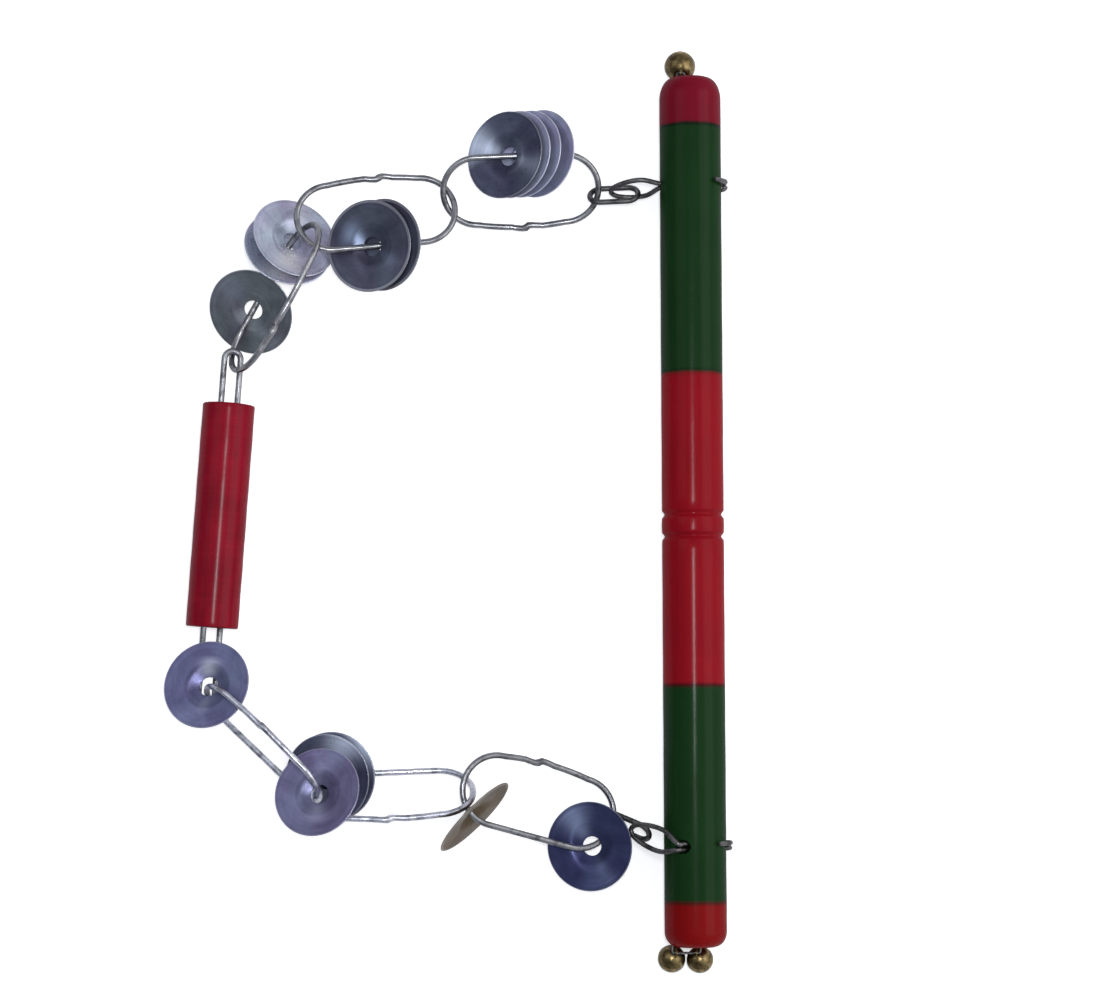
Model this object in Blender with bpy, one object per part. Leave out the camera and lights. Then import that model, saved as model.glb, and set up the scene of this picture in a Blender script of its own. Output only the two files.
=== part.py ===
"""A lezim: a turned wooden rod, a chain of oval wire links between its two ends, clashing discs
threaded on the links, a grip tube across the chain's far side, and small bells on the rod's ends.

Metres, +Z up. The rod lies along Y with its underside on the ground at the origin. The chain lies
out towards -X in the bowed loop that it takes when the instrument is put down. Each link hangs in
the one before it, so its place is worked out from the hook, not written down.
"""
import math

import bmesh
import bpy
import numpy as np
from mathutils import Matrix, Vector

# Clearance between wires that hang in each other, and between pieces that rest on each other
HOOK_GAP = 0.00045
SEAT_GAP = 0.0003

# Turned rod
ROD_DIAMETER = 0.0270
ROD_LENGTH = 0.3800
ROD_SIDES = 32
ROD_END_FLAT_RADIUS = 0.0079
TOP_END_ROUND = 0.0095
BOTTOM_END_ROUND = 0.0065
GROOVE_PLACE = -0.0077
GROOVE_SPACING = 0.0096
GROOVE_WIDTH = 0.0018
GROOVE_DEPTH = 0.0011

# Eye staples: one wire bent double through a cross hole in the rod and clinched on its far side
STAPLE_WIRE = 0.0023
STAPLE_LEG_SPACING = 0.0027
STAPLE_HOLE_RADIUS = 0.0031
TOP_STAPLE_PLACE = 0.1425
BOTTOM_STAPLE_PLACE = -0.1465
EYE_HALF_WIDTH = 0.0046
TOP_EYE_LENGTH = 0.0215
BOTTOM_EYE_LENGTH = 0.0242
CLINCH_DEGREES = 48.0
CLINCH_GAP = 0.0006

# Small connecting shackles
SHACKLE_WIRE = 0.0026
SHACKLE_HALF_LENGTH = 0.0107
SHACKLE_HALF_WIDTH = 0.0048
TOP_SHACKLE_MIDDLE = (-0.03365, 0.13920, 0.00918)
BOTTOM_SHACKLE_MIDDLE = (-0.02924, -0.13831, 0.00749)

# Oval chain links, half sizes to the wire's centreline
LINK_WIRE = 0.0027
LINK_HALF_LENGTH = 0.0344
LINK_HALF_WIDTH = 0.0152
LINK_BOW = 0.0016
LONG_LINK_EXTRA = 0.0006
LONGEST_LINK_EXTRA = 0.0016

# Grip: a tube that turns on a narrow twisted link
GRIP_WIRE_HALF_LENGTH = 0.07745
GRIP_WIRE_HALF_WIDTH = 0.0036
GRIP_LENGTH = 0.0980
GRIP_SLIDE = 0.0048
GRIP_OUTER_RADIUS = 0.0114
GRIP_BORE_RADIUS = 0.0056

# Clashing discs, dished round a hole
DISC_RADIUS = 0.0194
LARGE_DISC_RADIUS = 0.0202
DISC_HOLE_RADIUS = 0.0043
DISC_BOWL_RADIUS = 0.0095
DISC_BOWL_DEPTH = 0.0034
DISC_FLANGE_DROP = 0.0010
DISC_SHEET = 0.00065
DISC_SIDES = 22

# Bells: a thin shell with a slit and a loop, and a loose pellet inside
TOP_BELL_RADIUS = 0.0068
BOTTOM_BELL_RADIUS = 0.0060
SMALL_BELL_RADIUS = 0.0058
BELL_WALL = 0.0006
BELL_SLIT = 0.0016
BELL_LOOP_WIRE = 0.0009
BELL_LOOP_RADIUS = 0.0017
PELLET_RADIUS = 0.0019
PELLET_GAP = 0.0006
BELL_PIN_WIRE = 0.0011
BELL_PIN_REACH = 0.0028
BELL_PIN_DEPTH = 0.0080
BELL_PIN_HOLE_RADIUS = 0.00095
BELL_SIDE_ROOM = 0.0006

# Colours and finishes: base colour, metallic, roughness
FINISHES = {
    "painted_wood": ((0.030, 0.090, 0.040, 1.0), 0.0, 0.28),
    "grip_red": ((0.230, 0.010, 0.025, 1.0), 0.0, 0.40),
    "chain_wire": ((0.330, 0.330, 0.340, 1.0), 1.0, 0.38),
    "disc_sheet": ((0.330, 0.340, 0.420, 1.0), 1.0, 0.34),
    "brassy_sheet": ((0.420, 0.330, 0.210, 1.0), 1.0, 0.36),
    "bell_brass": ((0.480, 0.350, 0.150, 1.0), 1.0, 0.35),
    "pellet_steel": ((0.300, 0.300, 0.310, 1.0), 1.0, 0.35),
}

ROD_RADIUS = ROD_DIAMETER / 2.0
ROD_AXIS_HEIGHT = ROD_RADIUS
SAMPLE_STEP = 0.0004
UP = Vector((0.0, 0.0, 1.0))


def clear_scene():
    for item in list(bpy.data.objects):
        bpy.data.objects.remove(item, do_unlink=True)


def material(name):
    """The Principled material of one finish, made once."""
    found = bpy.data.materials.get(name)
    if found:
        return found
    colour, metallic, roughness = FINISHES[name]
    made = bpy.data.materials.new(name)
    made.use_nodes = True
    shader = made.node_tree.nodes["Principled BSDF"]
    shader.inputs["Base Color"].default_value = colour
    shader.inputs["Metallic"].default_value = metallic
    shader.inputs["Roughness"].default_value = roughness
    made.diffuse_color = colour
    return made


def link_object(name, data, finish):
    """Puts mesh or curve data in the scene as one named piece."""
    item = bpy.data.objects.new(name, data)
    data.materials.append(material(finish))
    bpy.context.scene.collection.objects.link(item)
    return item


def mesh_from(name, bm, finish, smooth_degrees=35.0):
    bmesh.ops.recalc_face_normals(bm, faces=bm.faces)
    mesh = bpy.data.meshes.new(name)
    bm.to_mesh(mesh)
    bm.free()
    mesh.shade_smooth()
    mesh.set_sharp_from_angle(angle=math.radians(smooth_degrees))
    return link_object(name, mesh, finish)


def wire(name, points, diameter, finish, closed=True, resolution=2):
    """A round wire along a polyline, closed into a ring or cut off square at both ends."""
    curve = bpy.data.curves.new(name, "CURVE")
    curve.dimensions = "3D"
    curve.bevel_depth = diameter / 2.0
    curve.bevel_resolution = resolution
    curve.use_fill_caps = not closed
    spline = curve.splines.new("POLY")
    spline.points.add(len(points) - 1)
    for slot, point in zip(spline.points, points):
        slot.co = (*point, 1.0)
    spline.use_cyclic_u = closed
    return link_object(name, curve, finish)


def lathe(name, profile, sides, finish, closed, smooth_degrees=35.0):
    """Turns (radius, height) points about Z. A closed profile makes a ring, an open one a solid."""
    bm = bmesh.new()
    start = math.pi / sides
    corners = [bm.verts.new((r * math.cos(start), r * math.sin(start), z)) for r, z in profile]
    edges = [bm.edges.new(pair) for pair in zip(corners, corners[1:])]
    if closed:
        edges.append(bm.edges.new((corners[-1], corners[0])))
    bmesh.ops.spin(bm, geom=corners + edges, cent=(0, 0, 0), axis=(0, 0, 1),
                   angle=math.tau, steps=sides, use_merge=True, use_duplicate=False)
    bmesh.ops.remove_doubles(bm, verts=bm.verts, dist=1e-7)
    return mesh_from(name, bm, finish, smooth_degrees)


def smooth_path(points, per_span=5):
    """Catmull-Rom curve through the given points, as a polyline."""
    knots = [Vector(p) for p in points]
    knots = [2 * knots[0] - knots[1]] + knots + [2 * knots[-1] - knots[-2]]
    path = []
    for a, b, c, d in zip(knots, knots[1:], knots[2:], knots[3:]):
        for step in range(per_span):
            t = step / per_span
            path.append(0.5 * (2 * b + (c - a) * t + (2 * a - 5 * b + 4 * c - d) * t * t
                               + (3 * b - a - 3 * c + d) * t ** 3))
    path.append(knots[-2])
    return path


def direction(heading, pitch):
    """Unit vector turned from +X by heading and raised by pitch, in degrees."""
    h, p = math.radians(heading), math.radians(pitch)
    return Vector((math.cos(h) * math.cos(p), math.sin(h) * math.cos(p), math.sin(p)))


def frame_of(heading, pitch, roll):
    """Columns along, across and square to a flat loop of wire."""
    along = direction(heading, pitch)
    level = direction(heading + 90.0, 0.0)
    turned = along.cross(level)
    across = level * math.cos(math.radians(roll)) + turned * math.sin(math.radians(roll))
    return Matrix((along, across, along.cross(across))).transposed()


class Loop:
    """An oval of wire: its sizes, how it is turned, and its middle once it has been hung."""

    def __init__(self, half_length, half_width, diameter, heading, pitch, roll, bowed_side=0, steps=10):
        self.half_length = half_length
        self.half_width = half_width
        self.diameter = diameter
        self.heading = heading
        self.pitch = pitch
        self.roll = {-1: roll, 1: roll}
        self.bowed_side = bowed_side
        self.steps = steps
        self.middle = Vector((0.0, 0.0, 0.0))

    @property
    def half_run(self):
        return self.half_length - self.half_width

    def frame(self, end=1):
        return frame_of(self.heading, self.pitch, self.roll[end])

    def bend_offset(self, end, degrees, inset=0.0):
        """From the middle to a point round one bend; 0 degrees is the bend's outermost point."""
        radius = self.half_width - inset
        a = math.radians(degrees)
        local = Vector((end * (self.half_run + radius * math.cos(a)), radius * math.sin(a), 0.0))
        return self.frame(end) @ local

    def bend_point(self, end, degrees):
        return self.middle + self.bend_offset(end, degrees)

    def run_point(self, side, along):
        """A point on one of the two long sides, measured along from the middle."""
        across = side * (self.half_width + self.bow_at(side, along))
        return self.middle + self.frame() @ Vector((along, across, 0.0))

    def bow_at(self, side, along):
        if side != self.bowed_side:
            return 0.0
        return LINK_BOW * (1.0 - (along / self.half_run) ** 2)

    def outline(self):
        """The centreline as a closed polyline."""
        points = []
        run_steps = self.steps // 2
        for end in (1, -1):
            for k in range(self.steps + 1):
                points.append(self.bend_point(end, end * (-90.0 + 180.0 * k / self.steps)))
            for k in range(1, run_steps):
                points.append(self.run_point(end, end * self.half_run * (1.0 - 2.0 * k / run_steps)))
        return points


class TwistedLoop(Loop):
    """A narrow loop whose far bend is turned against its near one, so its two sides cross."""

    TWIST_STEPS = 14
    STRAIGHT_SHARE = 0.12

    def __init__(self, half_length, half_width, diameter, pitch, near_roll, far_roll):
        super().__init__(half_length, half_width, diameter, 0.0, pitch, near_roll)
        self.roll = {-1: near_roll, 1: far_roll}

    def run_point(self, side, along):
        share = (along + self.half_run) / (2.0 * self.half_run)
        share = (share - self.STRAIGHT_SHARE) / (1.0 - 2.0 * self.STRAIGHT_SHARE)
        share = min(max(share, 0.0), 1.0)
        roll = self.roll[-1] + (self.roll[1] - self.roll[-1]) * share
        turned = frame_of(self.heading, self.pitch, roll)
        return self.middle + turned @ Vector((along, side * self.half_width, 0.0))

    def outline(self):
        points = []
        for end in (1, -1):
            for k in range(self.steps + 1):
                points.append(self.bend_point(end, end * (-90.0 + 180.0 * k / self.steps)))
            for k in range(1, self.TWIST_STEPS):
                points.append(self.run_point(end, end * self.half_run * (1.0 - 2.0 * k / self.TWIST_STEPS)))
        return points


def sampled(points):
    """A closed polyline as closely spaced points, for measuring."""
    corners = np.array([tuple(p) for p in points])
    runs = []
    for a, b in zip(corners, np.roll(corners, -1, axis=0)):
        count = max(1, math.ceil(np.linalg.norm(b - a) / SAMPLE_STEP))
        runs.append(a + (b - a) * np.linspace(0.0, 1.0, count, endpoint=False)[:, None])
    return np.vstack(runs)


def wire_gap(first, second):
    """Least distance between two loops' wires."""
    a, b = sampled(first.outline()), sampled(second.outline())
    squared = (a * a).sum(1)[:, None] + (b * b).sum(1)[None] - 2.0 * a @ b.T
    return math.sqrt(max(squared.min(), 0.0)) - (first.diameter + second.diameter) / 2.0


class Hook:
    """Where the far bend of one loop and the near bend of the next hang in each other."""

    def __init__(self, first, first_degrees, second, second_degrees, second_end=-1):
        self.first = first
        self.first_degrees = first_degrees
        self.second = second
        self.second_degrees = second_degrees
        self.second_end = second_end
        self.slack = 0.0

    def first_offset(self):
        return self.first.bend_offset(1, self.first_degrees, (self.first.diameter + HOOK_GAP) / 2.0)

    def second_offset(self):
        inset = (self.second.diameter + HOOK_GAP) / 2.0 + self.slack
        return self.second.bend_offset(self.second_end, self.second_degrees, inset)

    def spot(self):
        return self.first.middle + self.first_offset()

    def hang(self):
        self.second.middle = self.spot() - self.second_offset()

    def ease(self):
        """Moves the slack towards the named gap. Oblique wires come closer than square ones."""
        self.slack += 0.8 * (HOOK_GAP - wire_gap(self.first, self.second))


EASING_ROUNDS = 14


def hang_in_turn(hooks):
    for hook in hooks:
        for _ in range(EASING_ROUNDS):
            hook.hang()
            hook.ease()
        hook.hang()


def close_chain(into_grip, into_last, grip_hook):
    """Hangs the grip's wire and the last link so that their free bends meet.

    Seen from above, the two hooks behind them and the meeting point make a triangle whose sides are
    known, so the headings of both follow from it. The last link meets the grip's wire at the wire's
    own height, so the angle round its bend follows too.
    """
    grip_wire, last = into_grip.second, into_last.second
    for _ in range(EASING_ROUNDS):
        for loop in (grip_wire, last):
            loop.heading = 0.0
        near, far = into_grip.second_offset(), grip_hook.first_offset()
        meet_height = into_grip.spot().z + (far - near).z
        into_last.hang()
        reach = grip_hook.second_offset()
        grip_hook.second_degrees = angle_at_height(last, grip_hook, meet_height)
        reach = grip_hook.second_offset() - into_last.second_offset()
        grip_span = (far - near).to_2d()
        last_span = reach.to_2d()
        start, end = into_grip.spot().to_2d(), into_last.spot().to_2d()
        base = end - start
        cosine = (grip_span.length_squared + base.length_squared - last_span.length_squared) \
            / (2.0 * grip_span.length * base.length)
        bearing = math.atan2(base.y, base.x) - math.acos(min(max(cosine, -1.0), 1.0))
        meet = start + grip_span.length * Vector((math.cos(bearing), math.sin(bearing)))
        grip_wire.heading = math.degrees(bearing - math.atan2(grip_span.y, grip_span.x))
        back = meet - end
        last.heading = math.degrees(math.atan2(back.y, back.x) - math.atan2(last_span.y, last_span.x))
        into_grip.hang()
        into_last.hang()
        for hook in (into_grip, into_last, grip_hook):
            hook.ease()


def angle_at_height(loop, hook, height):
    """The angle round a loop's far bend at which its inner side lies at a height."""
    frame = loop.frame(1)
    radius = loop.half_width - (loop.diameter + HOOK_GAP) / 2.0 - hook.slack
    base = loop.middle.z + loop.half_run * frame[2][0]
    rise, spread = radius * frame[2][0], radius * frame[2][1]
    size = math.hypot(rise, spread)
    share = min(max((height - base) / size, -1.0), 1.0)
    crest = math.atan2(spread, rise)
    choices = []
    for sign in (1.0, -1.0):
        angle = crest + sign * math.acos(share)
        choices.append(math.degrees((angle + math.pi) % math.tau - math.pi))
    return min(choices, key=abs)


def link(extra, heading, pitch, roll, bowed_side):
    return Loop(LINK_HALF_LENGTH + extra, LINK_HALF_WIDTH, LINK_WIRE, heading, pitch, roll, bowed_side)


def shackle(heading, pitch, roll):
    return Loop(SHACKLE_HALF_LENGTH, SHACKLE_HALF_WIDTH, SHACKLE_WIRE, heading, pitch, roll, steps=8)


class Eye:
    """One staple's eye: where it leaves the rod, which way it points, and how it is turned."""

    def __init__(self, name, place, entry_degrees, exit_degrees, length, heading, pitch, roll, lift):
        self.name = name
        self.place = place
        self.entry_degrees = entry_degrees
        self.exit_degrees = exit_degrees
        self.length = length
        self.frame = frame_of(heading, pitch, roll)
        self.lift = lift

    def on_rod(self, degrees, radius):
        """A point round the rod in the staple's plane; 0 degrees faces +X and 90 faces up."""
        a = math.radians(degrees)
        return Vector((radius * math.cos(a), self.place, ROD_AXIS_HEIGHT + radius * math.sin(a)))

    @property
    def entry(self):
        return self.on_rod(self.entry_degrees, ROD_RADIUS)

    @property
    def exit(self):
        return self.on_rod(self.exit_degrees, ROD_RADIUS)

    @property
    def bore(self):
        """Unit vector along the cross hole, out of the eye's side."""
        return (self.entry - self.exit).normalized()

    @property
    def start(self):
        """Where the eye's own plane begins, just outside the hole's mouth."""
        return self.entry + self.bore * self.lift

    def tip(self):
        return self.start + self.frame.col[0] * self.length

    def leg(self, side):
        """One leg from its clinched end, through the hole, to the eye's tip."""
        across = self.frame.col[1]
        offset = across * side * STAPLE_LEG_SPACING / 2.0
        rise = 1.0 if offset.z >= 0.0 else -1.0
        round_radius = ROD_RADIUS + STAPLE_WIRE / 2.0 + CLINCH_GAP
        clinch = [self.on_rod(self.exit_degrees + rise * turn, round_radius) + offset.y * Vector((0, 1, 0))
                  for turn in (CLINCH_DEGREES, CLINCH_DEGREES * 0.62)]
        clinch.append(self.on_rod(self.exit_degrees + rise * CLINCH_DEGREES * 0.34, round_radius + 0.0004)
                      + offset.y * Vector((0, 1, 0)))
        mouth = self.exit + offset * 0.9 - self.bore * STAPLE_WIRE * 0.6
        inner = self.exit + offset + self.bore * STAPLE_WIRE * 0.9
        along = self.frame.col[0]
        spread = across * side * EYE_HALF_WIDTH
        inside = self.entry + offset - self.bore * STAPLE_WIRE * 0.9
        return clinch + [mouth, inner, inside, self.start + offset * 1.05,
                         self.start + along * self.length * 0.30 + spread,
                         self.start + along * self.length * 0.62 + spread,
                         self.start + along * self.length * 0.90 + spread * 0.60]

    def path(self):
        return smooth_path(self.leg(1) + [self.tip()] + list(reversed(self.leg(-1))), per_span=2)

    def build(self):
        return wire(self.name, self.path(), STAPLE_WIRE, "chain_wire", closed=False)

    def cutter(self):
        """The cross hole, as a rod that is longer than the hole."""
        bm = bmesh.new()
        bmesh.ops.create_cone(bm, cap_ends=True, segments=16, radius1=STAPLE_HOLE_RADIUS,
                              radius2=STAPLE_HOLE_RADIUS, depth=(self.entry - self.exit).length * 1.6)
        turn = UP.rotation_difference(self.bore).to_matrix().to_4x4()
        bm.transform(Matrix.Translation((self.entry + self.exit) / 2.0) @ turn)
        return mesh_from("cut_" + self.name, bm, "painted_wood")


TOP_EYE = Eye("staple_top", TOP_STAPLE_PLACE, 180.0, 0.0, TOP_EYE_LENGTH, 185.5, -13.0, -52.0, 0.0005)
BOTTOM_EYE = Eye("staple_bottom", BOTTOM_STAPLE_PLACE, 118.0, 2.0, BOTTOM_EYE_LENGTH, 160.0, -31.0, -15.0,
                 0.0022)


def lay_out_chain():
    """Hangs every loop from the two staples' shackles out to the grip."""
    loops = {
        "shackle_top": shackle(181.0, -7.5, 42.0),
        "top_link_1": link(0.0, 182.0, 0.0, -23.0, 1),
        "top_link_2": link(LONG_LINK_EXTRA, 186.0, 7.5, 11.0, -1),
        "top_link_3": link(LONGEST_LINK_EXTRA, 240.5, -4.0, 59.5, 1),
        "shackle_bottom": shackle(157.5, -17.5, -53.0),
        "bottom_link_1": link(0.0, 164.0, 13.0, 6.0, -1),
        "bottom_link_2": link(LONG_LINK_EXTRA, 182.0, 4.5, 53.5, 1),
        "bottom_link_3": link(0.0, 138.0, -7.0, -68.5, -1),
        "grip_wire": TwistedLoop(GRIP_WIRE_HALF_LENGTH, GRIP_WIRE_HALF_WIDTH, LINK_WIRE, 0.0, -17.5, 188.0),
    }
    loops["shackle_top"].middle = Vector(TOP_SHACKLE_MIDDLE)
    loops["shackle_bottom"].middle = Vector(BOTTOM_SHACKLE_MIDDLE)
    hooks = {
        "top_1": Hook(loops["shackle_top"], -8.0, loops["top_link_1"], 16.0),
        "top_2": Hook(loops["top_link_1"], 16.0, loops["top_link_2"], -14.0),
        "top_3": Hook(loops["top_link_2"], 26.0, loops["top_link_3"], -31.0),
        "bottom_1": Hook(loops["shackle_bottom"], -9.0, loops["bottom_link_1"], -7.0),
        "bottom_2": Hook(loops["bottom_link_1"], 26.0, loops["bottom_link_2"], 17.0),
        "grip_top": Hook(loops["top_link_3"], -34.0, loops["grip_wire"], 41.0),
        "bottom_3": Hook(loops["bottom_link_2"], -4.0, loops["bottom_link_3"], 15.0),
        "grip_bottom": Hook(loops["grip_wire"], -70.0, loops["bottom_link_3"], 20.0, second_end=1),
    }
    hang_in_turn([hooks[name] for name in ("top_1", "top_2", "top_3", "bottom_1", "bottom_2")])
    close_chain(hooks["grip_top"], hooks["bottom_3"], hooks["grip_bottom"])
    return loops, hooks


def build_rod(cutters):
    """The turned rod, with two grooves round its middle and a bottom face centred on the ground."""
    half = ROD_LENGTH / 2.0
    corner_steps = 4
    profile = [(0.0, -half)]
    for k in range(corner_steps + 1):
        profile.append(end_round_point(k / corner_steps, -1))
    for place in (GROOVE_PLACE - GROOVE_SPACING / 2.0, GROOVE_PLACE + GROOVE_SPACING / 2.0):
        profile.append((ROD_RADIUS, place - GROOVE_WIDTH))
        profile.append((ROD_RADIUS - GROOVE_DEPTH, place - GROOVE_WIDTH * 0.35))
        profile.append((ROD_RADIUS - GROOVE_DEPTH, place + GROOVE_WIDTH * 0.35))
        profile.append((ROD_RADIUS, place + GROOVE_WIDTH))
    for k in range(corner_steps, -1, -1):
        profile.append(end_round_point(k / corner_steps, 1))
    profile.append((0.0, half))
    flat_radius = 1.0 / math.cos(math.pi / ROD_SIDES)
    rod = lathe("rod", [(r * flat_radius, z) for r, z in profile], ROD_SIDES, "painted_wood", False)
    turn = Matrix.Rotation(-math.pi / 2.0, 4, "X")
    rod.data.transform(Matrix.Translation((0.0, 0.0, ROD_AXIS_HEIGHT)) @ turn)
    for number, cutter in enumerate(cutters):
        cut = rod.modifiers.new("hole_%d" % number, "BOOLEAN")
        cut.operation = "DIFFERENCE"
        cut.solver = "EXACT"
        cut.object = cutter
        cutter.hide_render = True
        cutter.display_type = "WIRE"
    return rod


def end_round_point(share, end):
    """A point on the rounded end corner: share 0 is on the flat end, 1 on the rod's side."""
    a = share * math.pi / 2.0
    radius = ROD_END_FLAT_RADIUS + (ROD_RADIUS - ROD_END_FLAT_RADIUS) * math.sin(a)
    depth = TOP_END_ROUND if end == 1 else BOTTOM_END_ROUND
    place = ROD_LENGTH / 2.0 - depth * (1.0 - math.cos(a))
    return radius, end * place


class Bell:
    """One bell lying by the rod's end, hung on a bell pin."""

    def __init__(self, name, radius, x, reach, pin_x, end):
        self.name = name
        self.radius = radius
        self.middle = Vector((x, end * (ROD_LENGTH / 2.0 + reach), radius + SEAT_GAP))
        self.pin_x = pin_x
        self.end = end

    @property
    def hang(self):
        """From the bell's middle to the middle of its loop."""
        return self.radius + BELL_LOOP_RADIUS - BELL_LOOP_WIRE * 0.55

    def pin_height(self):
        pin_y = self.end * (ROD_LENGTH / 2.0 + BELL_PIN_REACH)
        level = Vector((self.pin_x - self.middle.x, pin_y - self.middle.y)).length
        return self.middle.z + math.sqrt(self.hang ** 2 - level ** 2)

    def pin_point(self, height):
        return Vector((self.pin_x, self.end * (ROD_LENGTH / 2.0 + BELL_PIN_REACH), height))

    def build(self):
        toward_pin = (self.pin_point(self.pin_height()) - self.middle).normalized()
        sideways = Vector((1.0, 0.0, 0.0)) - toward_pin * toward_pin.x
        sideways.normalize()
        turned = Matrix((sideways, toward_pin.cross(sideways), toward_pin)).transposed().to_4x4()
        shell = lathe(self.name, self.shell_profile(), 12, "bell_brass", True, 60.0)
        ring = BELL_LOOP_RADIUS
        loop_points = [Vector((0.0, ring * math.cos(a), self.hang + ring * math.sin(a)))
                       for a in (math.tau * k / 12 for k in range(12))]
        loop = wire("loop_of_" + self.name, loop_points, BELL_LOOP_WIRE, "bell_brass", resolution=1)
        slit = self.slit_cutter()
        for tool, operation in ((slit, "DIFFERENCE"), (loop_mesh(loop), "UNION")):
            step = shell.modifiers.new(operation.lower(), "BOOLEAN")
            step.operation = operation
            step.solver = "EXACT"
            step.object = tool
            tool.hide_render = True
            tool.display_type = "WIRE"
            tool.matrix_world = Matrix.Translation(self.middle) @ turned
        shell.matrix_world = Matrix.Translation(self.middle) @ turned
        pellet = self.build_pellet()
        pellet.parent = shell
        pellet.matrix_parent_inverse = shell.matrix_world.inverted()
        return shell, pellet

    def shell_profile(self):
        """Half a hollow ball, from a small hole opposite the loop round to the solid crown."""
        inner = self.radius - BELL_WALL
        outer_steps, inner_steps = 7, 5
        low = math.radians(-84.0)
        outer = [(self.radius * math.cos(a), self.radius * math.sin(a))
                 for a in np.linspace(low, math.radians(90.0), outer_steps + 1)]
        inside = [(inner * math.cos(a), inner * math.sin(a))
                  for a in np.linspace(math.radians(90.0), low, inner_steps + 1)]
        outer[-1] = (0.0, self.radius)
        inside[0] = (0.0, inner)
        return outer + inside

    def slit_cutter(self):
        """A flat bar through the lower half, which leaves the slit."""
        bm = bmesh.new()
        bmesh.ops.create_cube(bm, size=1.0)
        size = Matrix.Diagonal((BELL_SLIT, self.radius * 1.7, self.radius * 1.2, 1.0))
        bm.transform(Matrix.Translation((0.0, 0.0, -self.radius * 0.75)) @ size)
        return mesh_from("slit_of_" + self.name, bm, "bell_brass")

    def build_pellet(self):
        bm = bmesh.new()
        bmesh.ops.create_icosphere(bm, subdivisions=2, radius=PELLET_RADIUS)
        drop = self.radius - BELL_WALL - PELLET_RADIUS - PELLET_GAP
        bm.transform(Matrix.Translation(self.middle - UP * drop))
        return mesh_from(self.name.replace("bell", "pellet"), bm, "pellet_steel", 180.0)


def loop_mesh(loop):
    """A curve's surface as a mesh object, for a Boolean."""
    depsgraph = bpy.context.evaluated_depsgraph_get()
    mesh = bpy.data.meshes.new_from_object(loop.evaluated_get(depsgraph))
    name = loop.name
    bpy.data.objects.remove(loop, do_unlink=True)
    made = bpy.data.objects.new(name, mesh)
    bpy.context.scene.collection.objects.link(made)
    return made


def pin_path(legs, end):
    """A bell pin: two legs in the rod's end, and the bridge that the bells hang on."""
    deep = end * (ROD_LENGTH / 2.0 - BELL_PIN_DEPTH)
    face = end * (ROD_LENGTH / 2.0 + BELL_PIN_REACH * 0.45)
    out = end * (ROD_LENGTH / 2.0 + BELL_PIN_REACH)
    corner = BELL_PIN_WIRE
    path = []
    for (x, height), inward in zip(legs, (1, -1)):
        half = [(x, deep, height), (x, face, height),
                (x + inward * corner * 0.3, out - end * corner * 0.35, height),
                (x + inward * corner, out, height)]
        path += half if inward == 1 else reversed(half)
    return [Vector(point) for point in path]


def pin_legs(group):
    """The place and height of a pin's two legs, either side of the bells that hang on it."""
    side_room = BELL_LOOP_WIRE / 2.0 + BELL_PIN_WIRE / 2.0 + BELL_SIDE_ROOM
    first, last = group[0], group[-1]
    slope = 0.0
    if last is not first:
        slope = (last.pin_height() - first.pin_height()) / (last.pin_x - first.pin_x)
    return [(first.pin_x - side_room, first.pin_height() - slope * side_room),
            (last.pin_x + side_room, last.pin_height() + slope * side_room)]


def pin_hole(x, height, end):
    """The blind hole for one leg of a bell pin."""
    bm = bmesh.new()
    depth = BELL_PIN_DEPTH + SEAT_GAP
    bmesh.ops.create_cone(bm, cap_ends=True, segments=10, radius1=BELL_PIN_HOLE_RADIUS,
                          radius2=BELL_PIN_HOLE_RADIUS, depth=2.0 * depth)
    place = Matrix.Translation((x, end * ROD_LENGTH / 2.0, height))
    bm.transform(place @ Matrix.Rotation(math.pi / 2.0, 4, "X"))
    return mesh_from("cut_pin_%+.4f_%d" % (x, end), bm, "painted_wood")


def disc_profile(radius):
    """The dished sheet's section: its upper face inwards, then its under face outwards."""
    half = DISC_SHEET / 2.0
    middle = [(DISC_HOLE_RADIUS, -DISC_BOWL_DEPTH), (DISC_BOWL_RADIUS, -DISC_FLANGE_DROP), (radius, 0.0)]
    return [(r, z + half) for r, z in reversed(middle)] + [(r, z - half) for r, z in middle]


class Disc:
    """One disc threaded on a loop of wire.

    The wire passes through the middle of its hole. The disc's axis leans from the vertical by tilt
    towards the azimuth, and dish is 1 where its hollow side faces up.
    """

    def __init__(self, name, loop, spot, azimuth, tilt, dish=1, radius=DISC_RADIUS, finish="disc_sheet"):
        self.name = name
        self.loop = loop
        self.radius = radius
        self.axis = direction(azimuth, 90.0 - tilt)
        self.dish = dish
        self.middle = spot + self.axis * dish * DISC_BOWL_DEPTH
        self.finish = finish

    def build(self):
        disc = lathe(self.name, disc_profile(self.radius), DISC_SIDES, self.finish, True, 25.0)
        turn = UP.rotation_difference(self.axis * self.dish).to_matrix().to_4x4()
        disc.matrix_world = Matrix.Translation(self.middle) @ turn
        return disc


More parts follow.
